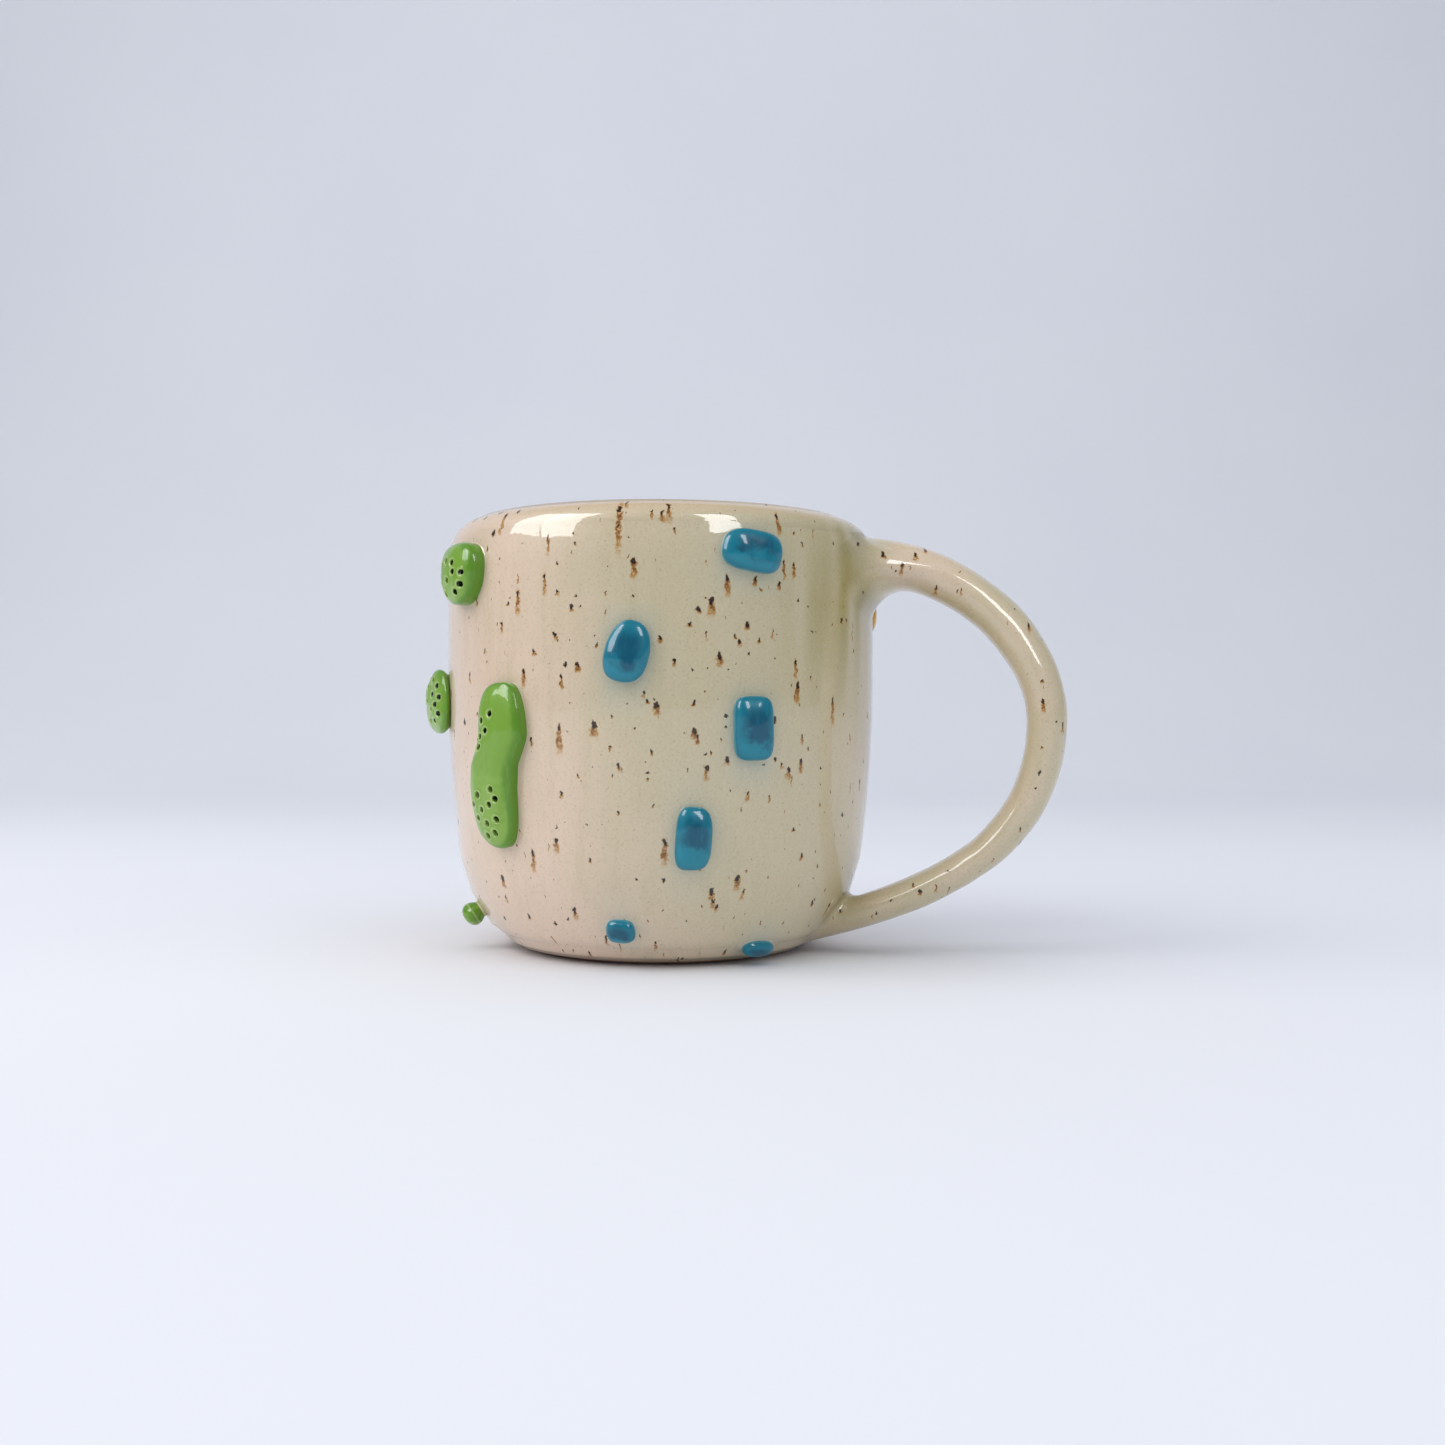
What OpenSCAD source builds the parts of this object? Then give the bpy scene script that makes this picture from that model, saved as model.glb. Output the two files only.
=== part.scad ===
// Stoneware mug with a loop handle and coloured relief pieces.
// Origin: centre of the foot, on the standing plane. +Z is up, the handle is along +X.

/* [Body] */
// Greatest outside radius of the cup, at its belly
body_r = 42; // [34:0.5:54]
// Height from the foot to the top of the lip
body_h = 84; // [66:1:110]
// Height of the belly, as a share of the lip's height
belly_share = 0.69; // [0.5:0.01:0.8]
// How far the wall's line has drawn in by the time it would reach the table
base_taper = 5.2; // [0:0.1:9]
// How far the lip draws in from the belly
rim_taper = 0.3; // [0:0.1:3]
// Radius of the flat foot
foot_r = 24.8; // [16:0.2:30]
// Height of the rounding between the foot and the wall
round_h = 20; // [12:1:30]
// Thickness of the wall, clay and glaze together
wall = 4.8; // [3.6:0.1:7]
// Thickness of the floor, clay and glaze together
floor_t = 6; // [4:0.1:9]
// Radius of the flat middle of the floor inside
floor_r = 16; // [8:0.5:20]
// Height of the rounding between the floor and the wall inside
floor_round_h = 21; // [12:1:28]

/* [Lip] */
// How far the lip's outer rounding reaches in from the wall
lip_out = 4.2; // [2.5:0.1:5]
// How far the lip's inner rounding reaches out from the cavity
lip_in = 1.5; // [1:0.1:2.5]
// Height of the lip's rounding
lip_h = 4; // [2:0.1:6]

/* [Glaze] */
// Thickness of the glaze coat
glaze = 0.4; // [0.2:0.05:0.8]
// Height at which the glaze stops above the table
bare_h = 1.2; // [0.6:0.1:4]

/* [Handle] */
// How far the handle's middle line stands out from the belly at its furthest
stand_out = 33.4; // [24:0.2:50]
// How far the middle of the upper root is below the lip
root_drop = 7.8; // [7.8:0.2:24]
// Height at which the handle is furthest out, as a share of the mug's height
elbow_share = 0.53; // [0.42:0.01:0.6]
// Height of the lower root, where the middle line meets the cup's underside
root_low = 4.8; // [3.6:0.2:12]
// Thickness at the upper root, seen from the side
thick_top = 9; // [6:0.1:12]
// Thickness at the furthest point
thick_mid = 7.4; // [5:0.1:11]
// Thickness at the lower root
thick_low = 6; // [4:0.1:8]
// Width at the upper root, seen from above
width_top = 12.5; // [8:0.1:18]
// Width at the furthest point
width_mid = 10.4; // [7:0.1:16]
// Width at the lower root
width_low = 10; // [7:0.1:16]
// How far the worked clay at each root stands out from the handle
joint_flare = 1.8; // [0.8:0.1:3]

/* [Relief pieces] */
// Height of a green piece's crown above the wall
green_h = 3.4; // [2:0.1:6]
// Height of a teal piece's crown above the wall
teal_h = 2.7; // [1.5:0.1:5]
// Height of a yellow piece's crown above the wall
yellow_h = 2.6; // [1.5:0.1:5]
// Diameter of a pricked hole
prick_d = 1.1; // [0.5:0.1:1.4]
// Depth of a pricked hole
prick_depth = 1.6; // [0.8:0.1:3]

/* [Hidden] */

clay_c = "#c8a98a";
cream_c = "#d8c8b0";
green_c = "#76ab45";
teal_c = "#14789a";
yellow_c = "#e0b030";

lip_z = body_h - lip_h;              // where the lip's rounding starts
belly_z = belly_share * lip_z;
rim_r = body_r - rim_taper;
lip_top_r = rim_r - lip_out;         // radius of the lip's highest line
lip_wall = lip_out + lip_in;         // thickness of the wall just under the lip
flat_eps = 0.01;

// ---------- the cup's outline ----------

// Radius of the wall's line at height z, before the foot's rounding
function wall_line(z) = z < belly_z
    ? body_r - base_taper * pow((belly_z - z) / belly_z, 2)
    : body_r - rim_taper * pow((z - belly_z) / (lip_z - belly_z), 2);

// How much a quarter ellipse of height h, standing on height z0, has drawn in at height z
function rounding(z, z0, h, d) = z >= z0 + h
    ? 0
    : d * (1 - sqrt(max(0, 1 - pow(1 - (z - z0) / h, 2))));

// Outside radius of the glazed cup at height z, up to the lip
function outer_r(z) = wall_line(z) - rounding(z, 0, round_h, wall_line(0) - foot_r);

// The wall thickens evenly from the belly up to the lip
function wall_t(z) = wall + (lip_wall - wall) * max(0, (z - belly_z) / (lip_z - belly_z));

// Radius of the glazed cavity at height z
cavity_foot_r = wall_line(floor_t) - wall - floor_r;
function inner_r(z) = wall_line(z) - wall_t(z) - rounding(z, floor_t, floor_round_h, cavity_foot_r);

round_n = 9;                         // points along each rounding
wall_n = 7;                          // points along the straight part of each wall
lip_n = 6;                           // points along each quarter of the lip

// Outside points from the foot to the start of the lip, then over the lip to its highest line
outer_pts = concat(
    [for (i = [0 : round_n]) let (z = round_h * (1 - cos(90 * i / round_n))) [outer_r(z), z]],
    [for (i = [1 : wall_n]) let (z = round_h + (lip_z - round_h) * i / wall_n) [outer_r(z), z]],
    [for (i = [1 : lip_n]) let (a = 90 * i / lip_n)
        [rim_r - lip_out * (1 - cos(a)), lip_z + lip_h * sin(a)]]);

// Cavity points from the lip's highest line down to the flat of the floor
floor_top = floor_t + floor_round_h;
inner_pts = concat(
    [for (i = [1 : lip_n]) let (a = 90 * i / lip_n)
        [lip_top_r - lip_in * sin(a), lip_z + lip_h * cos(a)]],
    [for (i = [1 : wall_n]) let (z = lip_z - (lip_z - floor_top) * i / wall_n) [inner_r(z), z]],
    [for (i = [1 : round_n]) let (z = floor_t + floor_round_h * (1 - sin(90 * i / round_n)))
        [inner_r(z), z]]);

// The unit normal on the left of a line of points, at point i
function turn_left(v) = [-v[1], v[0]] / norm(v);
function normal_at(p, i) = turn_left(p[min(i + 1, len(p) - 1)] - p[max(i - 1, 0)]);

// The same line of points, moved to its left
function moved_left(p, d) = [for (i = [0 : len(p) - 1]) p[i] + d * normal_at(p, i)];

// Where the clay is under the glaze. Its ends lie on the standing plane, on the lip's line
// and on the floor.
clay_outer = let (p = moved_left(outer_pts, glaze)) concat(
    [[foot_r, 0]],
    [for (q = p) if (q[1] > flat_eps && q[1] < body_h - glaze - flat_eps) q],
    [[lip_top_r, body_h - glaze]]);
clay_inner = let (p = moved_left(inner_pts, glaze)) concat(
    [for (q = p) if (q[1] > floor_t - glaze + flat_eps && q[1] < body_h - glaze - flat_eps) q],
    [[floor_r, floor_t - glaze]]);

module turned(points) {
    rotate_extrude($fn = 96) polygon(points);
}

// The solid cup without a cavity, to its clay surface
module clay_plug() {
    turned(concat([[0, 0]], clay_outer, [[0, body_h - glaze]]));
}

// The solid cup without a cavity, to its glazed surface
module cup_plug() {
    turned(concat([[0, 0]], outer_pts, [[0, body_h]]));
}

// ---------- the cup ----------

module mug_body() {
    color(clay_c)
    turned(concat([[0, 0]], clay_outer, clay_inner, [[0, floor_t - glaze]]));
}

module glaze_outside() {
    color(cream_c) difference() {
        cup_plug();
        clay_plug();
        cylinder(h = bare_h, r = body_r);
        translate([0, 0, body_h - 2 * glaze]) cylinder(h = 3 * glaze, r = lip_top_r);
        tenons();
        relief_sockets();
    }
}

module glaze_inside() {
    color(cream_c)
    turned(concat([[lip_top_r, body_h - glaze], [lip_top_r, body_h]], inner_pts,
        [[0, floor_t], [0, floor_t - glaze], [floor_r, floor_t - glaze]],
        [for (i = [len(clay_inner) - 2 : -1 : 0]) clay_inner[i]]));
}

// ---------- the handle ----------

// The middle line is two cubic arcs that meet at the elbow, where the line is upright
reach = body_r + stand_out;
root_top = body_h - root_drop;
elbow_h = elbow_share * body_h;
root_in = 6;                         // how far inside the wall the upper arc starts
root_low_in = 3.3;                   // how far inside it the lower arc ends
upper_pull = [0.78, 0.5];            // where the arcs' middle points are, as shares of the
lower_pull = [0.46, 0.77, 0.185];    // reach and of the height between the elbow and a root
upper_arc = [[body_r - root_in, root_top], [upper_pull[0] * reach, root_top],
             [reach, elbow_h + upper_pull[1] * (root_top - elbow_h)], [reach, elbow_h]];
lower_arc = [[reach, elbow_h], [reach, root_low + lower_pull[0] * (elbow_h - root_low)],
             [lower_pull[1] * reach, root_low + lower_pull[2] * (elbow_h - root_low)],
             [outer_r(root_low) - root_low_in, root_low]];

function arc_at(c, t) = pow(1 - t, 3) * c[0] + 3 * t * pow(1 - t, 2) * c[1]
    + 3 * t * t * (1 - t) * c[2] + pow(t, 3) * c[3];

// The middle line at s: 0 is the upper end, 1 the elbow and 2 the lower end
function line_at(s) = s < 1 ? arc_at(upper_arc, s) : arc_at(lower_arc, s - 1);
function along(s) = let (a = line_at(max(0, s - 0.02)), b = line_at(min(2, s + 0.02)))
    (b - a) / norm(b - a);
function eased(a, b, c, s) = s < 1 ? a + (b - a) * s : b + (c - b) * (s - 1);

sides = 20;                          // points round the handle's section
rings = 44;                          // sections along the handle
joint_rings = 8;                     // sections along the worked clay at each root

// One oval section of the handle at s, standing `more` further out all round
function section(s, more) = let (
    p = line_at(s), d = along(s), out = [-d[1], d[0]],
    half_t = eased(thick_top, thick_mid, thick_low, s) / 2 + more,
    half_w = eased(width_top, width_mid, width_low, s) / 2 + more)
    [for (k = [0 : sides - 1]) let (a = 360 * k / sides, o = half_t * cos(a))
        [p[0] + out[0] * o, -half_w * sin(a), p[1] + out[1] * o]];

// A closed tube through the sections at the places in `at`
module swept(at, more) {
    n = len(at);
    polyhedron(
        points = [for (i = [0 : n - 1]) each section(at[i], more[i])],
        faces = concat(
            [[for (k = [0 : sides - 1]) k]],
            [for (i = [0 : n - 2], k = [0 : sides - 1]) let (m = (k + 1) % sides)
                [i * sides + k, (i + 1) * sides + k, (i + 1) * sides + m, i * sides + m]],
            [[for (k = [sides - 1 : -1 : 0]) (n - 1) * sides + k]]));
}

module handle_solid() {
    swept([for (i = [0 : rings]) 2 * i / rings], [for (i = [0 : rings]) 0]);
}

// The flared clay round one root, before the handle is taken out of it. It is widest inside
// the wall and closes onto the handle.
upper_joint_s = [0.06, 0.26];
lower_joint_s = [1.98, 1.78];
joint_edge = 0.25;                   // thickness of the worked clay where it ends
joint_top = 0.6;                     // how far it may go up the lip, as a share of the lip
module joint_solid(upper) {
    ends = upper ? upper_joint_s : lower_joint_s;
    at = [for (i = [0 : joint_rings]) ends[0] + (ends[1] - ends[0]) * i / joint_rings];
    flare = [for (i = [0 : joint_rings]) joint_edge + joint_flare * pow(1 - i / joint_rings, 2)];
    n = len(at) - 1;
    if (upper) swept(at, flare);
    else swept([for (i = [n : -1 : 0]) at[i]], [for (i = [n : -1 : 0]) flare[i]]);
}

// The roots go on through the glaze to the clay as two short oval tenons, which stand where
// the middle line meets the wall
tenon_inset = 1.3;
tenon_top_z = root_top - 0.2;
tenon_low_z = root_low + 1.4;
module tenon(z, w, t) {
    on_wall(0, z) linear_extrude(4 * glaze, center = true) rounded(w, t, t / 2 - flat_eps);
}
module tenons() {
    tenon(tenon_top_z, width_top - 2 * tenon_inset, thick_top - 2 * tenon_inset);
    tenon(tenon_low_z, width_low - 2 * tenon_inset, thick_low - 2 * tenon_inset);
}

module handle() {
    color(cream_c) {
        difference() {
            handle_solid();
            cup_plug();
        }
        intersection() {
            tenons();
            difference() {
                cup_plug();
                clay_plug();
            }
        }
    }
}

module handle_joint(upper) {
    color(cream_c) difference() {
        joint_solid(upper);
        handle_solid();
        cup_plug();
        translate([0, 0, -body_h]) cube([4 * body_r, 4 * body_r, 2 * body_h + 0.02], center = true);
        translate([0, 0, lip_z + joint_top * lip_h + body_h / 2])
            cube([4 * body_r, 4 * body_r, body_h], center = true);
    }
}

module handle_upper_joint() { handle_joint(true); }
module handle_lower_joint() { handle_joint(false); }

// ---------- relief pieces ----------

// Puts its children on the wall at azimuth az and height z, facing out: their +Z is the wall's
// normal, their +X runs round the cup and their +Y runs up it.
slope_step = 0.2;
function wall_lean(z) = atan2(outer_r(z + slope_step) - outer_r(z - slope_step), 2 * slope_step);
module on_wall(az, z, turn = 0) {
    rotate([0, 0, az]) translate([outer_r(z), 0, z]) rotate([0, 90 + wall_lean(z), 0])
        rotate([0, 0, 90 + turn]) children();
}

seat = 2.4;                          // how far a piece's outline is carried in, past the clay

// A square with round corners, w by h
module rounded(w, h, r) {
    square([w - 2 * r, h], center = true);
    square([w, h - 2 * r], center = true);
    for (x = [-1, 1], y = [-1, 1]) translate([x * (w / 2 - r), y * (h / 2 - r)]) circle(r = r, $fn = 32);
}

// A crowned piece over a flat outline: upright sides, cut off by a ball that falls by a share
// of the piece's height over its width
crown_share = 0.55;
module crowned(size, h) {
    fall = crown_share * h;
    ball_r = (pow(size / 2, 2) + pow(fall, 2)) / (2 * fall);
    intersection() {
        translate([0, 0, -seat]) linear_extrude(seat + h) children();
        translate([0, 0, h - ball_r]) sphere(r = ball_r, $fn = 96);
    }
}

// A drum lying along +Y that crowns a piece of height green_h: it drops by `drop` over `size`
module drum(size, drop) {
    drum_r = (pow(size / 2, 2) + pow(drop, 2)) / (2 * drop);
    translate([0, 0, green_h - drum_r]) rotate([90, 0, 0])
        cylinder(h = 2 * long_len, r = drum_r, center = true, $fn = 180);
}

// Holes pricked at the places in `at`, from height h
module pricks(at, h) {
    for (p = at) translate([p[0], p[1], h - prick_depth]) cylinder(h = prick_depth + 2, d = prick_d, $fn = 24);
}

// The outlines, and where each piece stands: azimuth, height, turn. The heights are for a mug
// as tall as drawn_h, and go up and down with the mug.
drawn_h = 84;
function up(z) = z * body_h / drawn_h;
disc_upper_d = 11.6;
disc_side_d = 12.2;
disc_back_d = 10.4;
long_w = 10.2;
long_len = 29.4;
long_steps = 44;
long_falls = [0.5, 0.3];             // how far its crown falls across and along, as shares

// The long piece's outline: a stretched oval with blunt ends whose upper half steps to the
// right in a soft S, and whose lower tip drifts back a little
function smooth(x) = let (t = min(1, max(0, x))) t * t * (3 - 2 * t);
step_from = -2;                      // the step starts here, from the piece's middle
step_len = 8;
step_w = 3;
step_back = -0.6;                    // what keeps the outline's middle over the piece's place
tip_from = -6;                       // below here the tip drifts
tip_w = 0.9;
function long_sway(v) = step_back + step_w * smooth((v - step_from) / step_len)
    + tip_w * pow(min(0, v - tip_from) / (long_len / 2 + tip_from), 2);
function blunt(x) = sign(x) * sqrt(abs(x));
module long_outline() {
    polygon([for (i = [0 : long_steps - 1]) let (
        a = 360 * (i + 0.5) / long_steps, v = long_len / 2 * blunt(sin(a)))
        [long_sway(v) + long_w / 2 * cos(a), v]]);
}
module at_disc_upper() { on_wall(-130, up(72.2)) children(); }
module at_disc_side() { on_wall(-153, up(48.4)) children(); }
module at_disc_back() { on_wall(172, up(27)) children(); }
module at_long() { on_wall(-117, up(36.8)) children(); }
module at_bud() { on_wall(-150.7, up(7.9)) children(); }

// A small button on a short stalk, and a disc that is pinched in at its base
module stalked(stalk_d, head_d, stalk_h, head_h) {
    translate([0, 0, -seat]) cylinder(h = seat + stalk_h + flat_eps, d = stalk_d, $fn = 32);
    translate([0, 0, stalk_h]) cylinder(h = head_h * 0.4, d1 = stalk_d, d2 = head_d, $fn = 32);
    translate([0, 0, stalk_h + head_h * 0.4 - flat_eps])
        crowned(head_d, head_h * 0.6) circle(d = head_d, $fn = 48);
}

// Each row: azimuth, height, turn, width, height along the wall, corner radius
teal = [[-49.8, 74.4, -8, 10.8, 7, 2.8],
        [-79.7, 56.4, -15, 7.6, 10.8, 3.2],
        [-49.6, 43.4, 2, 7.2, 11.4, 2.4],
        [-64, 24.3, -3, 6.1, 11, 2.4],
        [-83.2, 7.9, 0, 5, 4.4, 1.6],
        [-40, 3.8, -10, 6.6, 3.6, 1.4]];
yellow = [[25, 66.5, 20, 8, 8.6, 3.4],
          [56, 40, -10, 6.8, 15, 3],
          [88, 67, 12, 9.4, 7, 3],
          [76, 14.5, 0, 7, 6, 2.6],
          [118, 50, 0, 8.4, 8.4, 4]];

module pebble_at(p) { on_wall(p[0], up(p[1]), p[2]) children(); }
module pebble_outline(p) { rounded(p[3], p[4], p[5]); }
module pebble(p, h) {
    crown = min(h, crown_share * p[4]);
    difference() {
        pebble_at(p) crowned(max(p[3], p[4]), crown) pebble_outline(p);
        clay_plug();
    }
}

// The places in the glaze where the pieces stand on the clay
module socket() { translate([0, 0, -seat]) linear_extrude(2 * seat) children(); }
module relief_sockets() {
    for (p = concat(teal, yellow)) pebble_at(p) socket() pebble_outline(p);
    at_disc_upper() socket() circle(d = disc_upper_d, $fn = 48);
    at_disc_side() socket() circle(d = disc_side_stalk, $fn = 48);
    at_disc_back() socket() circle(d = disc_back_d, $fn = 48);
    at_long() socket() long_outline();
    at_bud() socket() circle(d = bud_stalk, $fn = 32);
}

disc_side_stalk = 9.4;
disc_side_stalk_h = 1.2;
disc_side_h = green_h + 0.6;         // height of the side disc over its stalk
bud_stalk = 2.6;
bud_stalk_h = 1.6;
bud_head = 4.4;
bud_h = 2.6;
disc_upper_h = green_h + 0.8;

disc_upper_pricks = [[-1.2, 2.1], [-3.7, 1.5], [1.2, 1.6], [1.6, -0.1], [4.2, -0.4],
                     [-4.3, -1.1], [-0.7, -1.5], [3.6, -2.5], [2, -3.8], [-2.2, -4]];
disc_side_pricks = [[1, 4.4], [3.2, 3.2], [-1.4, 3], [1.4, 1.6], [4.2, 1], [2.8, -0.4],
                    [-1.2, 0.2], [0.8, -1.4], [3.8, -2.2], [1.8, -3.6], [-1, -3.6]];
disc_back_pricks = [[-1.6, 2.4], [1.4, 2], [-2.6, -0.4], [0.2, -0.2],
                    [2.6, -0.8], [-0.8, -2.6], [1.6, -3]];
long_pricks = [[-0.6, 9.4], [-3, 8.2], [-1.7, 6.4], [-3.3, 5.3], [-3, 3.4],
               [1.9, -4.1], [-1.6, -5.2], [2.8, -5.8], [1.2, -6.9], [-0.9, -7.9],
               [-3.4, -7], [-2.6, -9.5], [0, -10.3], [2.4, -9.5], [1.4, -12], [-0.8, -12.6]];

// A green piece standing on the clay, with its holes
module green_piece() {
    color(green_c) difference() {
        children();
        clay_plug();
    }
}

module green_disc_upper() {
    green_piece() at_disc_upper() difference() {
        crowned(disc_upper_d, disc_upper_h) circle(d = disc_upper_d, $fn = 48);
        pricks(disc_upper_pricks, disc_upper_h);
    }
}
module green_disc_side() {
    green_piece() at_disc_side() difference() {
        stalked(disc_side_stalk, disc_side_d, disc_side_stalk_h, disc_side_h);
        pricks(disc_side_pricks, disc_side_stalk_h + disc_side_h);
    }
}
module green_disc_back() {
    green_piece() at_disc_back() difference() {
        crowned(disc_back_d, green_h) circle(d = disc_back_d, $fn = 48);
        pricks(disc_back_pricks, green_h);
    }
}
module green_long_piece() {
    green_piece() at_long() difference() {
        intersection() {
            translate([0, 0, -seat]) linear_extrude(seat + green_h) long_outline();
            drum(long_w + step_w, long_falls[0] * green_h);
            rotate(90) drum(long_len, long_falls[1] * green_h);
        }
        pricks(long_pricks, green_h);
    }
}
module green_bud() {
    green_piece() at_bud() stalked(bud_stalk, bud_head, bud_stalk_h, bud_h);
}

module teal_pebble_top() { color(teal_c) pebble(teal[0], teal_h); }
module teal_pebble_centre() { color(teal_c) pebble(teal[1], teal_h); }
module teal_pebble_right() { color(teal_c) pebble(teal[2], teal_h); }
module teal_pebble_lower() { color(teal_c) pebble(teal[3], teal_h); }
module teal_pebble_small() { color(teal_c) pebble(teal[4], teal_h); }
module teal_pebble_foot() { color(teal_c) pebble(teal[5], teal_h); }

module yellow_pebble_handle() { color(yellow_c) pebble(yellow[0], yellow_h); }
module yellow_pebble_long() { color(yellow_c) pebble(yellow[1], yellow_h); }
module yellow_pebble_high() { color(yellow_c) pebble(yellow[2], yellow_h); }
module yellow_pebble_low() { color(yellow_c) pebble(yellow[3], yellow_h); }
module yellow_pebble_round() { color(yellow_c) pebble(yellow[4], yellow_h); }

mug_body();
glaze_outside();
glaze_inside();
handle();
handle_upper_joint();
handle_lower_joint();
green_disc_upper();
green_disc_side();
green_long_piece();
green_bud();
green_disc_back();
teal_pebble_top();
teal_pebble_centre();
teal_pebble_right();
teal_pebble_lower();
teal_pebble_small();
teal_pebble_foot();
yellow_pebble_handle();
yellow_pebble_long();
yellow_pebble_high();
yellow_pebble_low();
yellow_pebble_round();
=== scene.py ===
"""Speckled stoneware mug with raised green, teal and yellow pieces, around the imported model.

The design's own sizes are repeated here in millimetres. Every surface is worked out in
millimetres as a grid of points, and becomes metres when it is made into a mesh.
"""
import math

import bpy
import numpy as np
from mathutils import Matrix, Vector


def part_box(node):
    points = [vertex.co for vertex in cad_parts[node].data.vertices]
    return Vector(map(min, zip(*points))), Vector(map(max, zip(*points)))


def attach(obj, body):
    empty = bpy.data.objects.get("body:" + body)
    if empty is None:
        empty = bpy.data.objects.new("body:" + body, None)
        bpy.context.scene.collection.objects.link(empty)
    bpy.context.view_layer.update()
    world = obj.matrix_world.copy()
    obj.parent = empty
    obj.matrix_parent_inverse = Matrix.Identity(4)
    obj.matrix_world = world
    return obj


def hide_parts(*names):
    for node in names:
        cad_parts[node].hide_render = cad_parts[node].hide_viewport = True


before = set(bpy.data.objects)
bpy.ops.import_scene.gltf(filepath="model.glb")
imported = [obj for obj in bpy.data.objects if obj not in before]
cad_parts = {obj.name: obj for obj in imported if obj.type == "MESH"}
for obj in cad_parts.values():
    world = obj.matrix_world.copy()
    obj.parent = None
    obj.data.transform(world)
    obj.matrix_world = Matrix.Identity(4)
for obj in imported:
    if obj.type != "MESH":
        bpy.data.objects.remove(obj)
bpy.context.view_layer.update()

MM = 0.001
BODY = "root"

# ---------------- sizes of the design, mm

BODY_R = 42.0            # outside radius at the belly
BODY_H = 84.0            # foot to the top of the lip
LIP_H = 4.0
LIP_OUT = 4.2
LIP_IN = 1.5
LIP_Z = BODY_H - LIP_H
BELLY_Z = 0.69 * LIP_Z
BASE_TAPER = 5.2
RIM_TAPER = 0.3
FOOT_R = 24.8
ROUND_H = 20.0
WALL = 4.8
FLOOR_T = 6.0
FLOOR_R = 16.0
FLOOR_ROUND_H = 21.0
GLAZE = 0.4
BARE_H = 1.2
RIM_R = BODY_R - RIM_TAPER
LIP_TOP_R = RIM_R - LIP_OUT

REACH = BODY_R + 33.4    # axis to the handle's middle line at its furthest
ROOT_TOP = BODY_H - 7.8
ELBOW_H = 0.53 * BODY_H
ROOT_LOW = 4.8
ROOT_LOW_IN = 3.3        # how far inside the wall the middle line ends
THICK = (9.0, 7.4, 6.0)  # the handle's thickness at its upper root, elbow and lower root
WIDTH = (12.5, 10.4, 10.0)


# ---------------- the cup's outline

def wall_line(z):
    """Radius of the wall's line at height z, before the foot's rounding."""
    low = BODY_R - BASE_TAPER * ((BELLY_Z - z) / BELLY_Z) ** 2
    high = BODY_R - RIM_TAPER * ((z - BELLY_Z) / (LIP_Z - BELLY_Z)) ** 2
    return np.where(z < BELLY_Z, low, high)


def rounding(z, z0, height, depth):
    """How much a quarter ellipse that stands on z0 has drawn in at height z."""
    u = np.clip(1 - (z - z0) / height, 0, 1)
    return depth * (1 - np.sqrt(1 - u * u))


def outer_r(z):
    """Outside radius of the glazed cup at height z, over the lip to its highest line."""
    z = np.asarray(z, float)
    lip = LIP_OUT * (1 - np.sqrt(np.clip(1 - (np.clip(z - LIP_Z, 0, LIP_H) / LIP_H) ** 2, 0, 1)))
    foot_depth = float(wall_line(np.array(0.0))) - FOOT_R
    return wall_line(np.minimum(z, LIP_Z)) - rounding(z, 0, ROUND_H, foot_depth) - lip


def inner_r(z):
    """Radius of the glazed cavity at height z."""
    z = np.asarray(z, float)
    grow = np.clip((z - BELLY_Z) / (LIP_Z - BELLY_Z), 0, 1)
    wall = WALL + (LIP_OUT + LIP_IN - WALL) * grow
    depth = float(wall_line(np.array(FLOOR_T))) - WALL - FLOOR_R
    return wall_line(z) - wall - rounding(z, FLOOR_T, FLOOR_ROUND_H, depth)


def resample(points, n):
    """The same line as n points that are evenly spaced along it."""
    points = np.asarray(points, float)
    step = np.hypot(*np.diff(points, axis=0).T)
    along = np.concatenate([[0], np.cumsum(step)])
    at = np.linspace(0, along[-1], n)
    return np.stack([np.interp(at, along, points[:, k]) for k in range(2)], 1)


def outside_line(z_low, n):
    """Points (r, z) from height z_low up the outside to the lip's highest line."""
    t = np.linspace(0, 1, 400)
    low = z_low + (ROUND_H - z_low) * t ** 2
    wall = ROUND_H + (LIP_Z - ROUND_H) * t
    a = np.linspace(0, math.pi / 2, 100)
    lip = np.stack([RIM_R - LIP_OUT * (1 - np.cos(a)), LIP_Z + LIP_H * np.sin(a)], 1)
    parts = [np.stack([outer_r(low), low], 1), np.stack([outer_r(wall), wall], 1), lip]
    return resample(np.concatenate(parts), n)


def inside_line(n):
    """Points (r, z) from the lip's highest line down the inside to the middle of the floor."""
    a = np.linspace(0, math.pi / 2, 60)
    lip = np.stack([LIP_TOP_R - LIP_IN * np.sin(a), LIP_Z + LIP_H * np.cos(a)], 1)
    top = FLOOR_T + FLOOR_ROUND_H
    wall = np.linspace(LIP_Z, top, 200)
    low = FLOOR_T + FLOOR_ROUND_H * np.linspace(1, 0, 300) ** 2
    floor = np.stack([np.linspace(FLOOR_R, 0.0, 100), np.full(100, FLOOR_T)], 1)
    parts = [lip, np.stack([inner_r(wall), wall], 1), np.stack([inner_r(low), low], 1), floor]
    return resample(np.concatenate(parts), n)


# ---------------- small maths

def unit(v):
    return v / np.maximum(np.linalg.norm(v, axis=-1, keepdims=True), 1e-12)


def smooth(x, low=0.0, high=1.0):
    """0 below low, 1 above high, and an even curve between them."""
    t = np.clip((x - low) / (high - low), 0, 1)
    return t * t * (3 - 2 * t)


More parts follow.
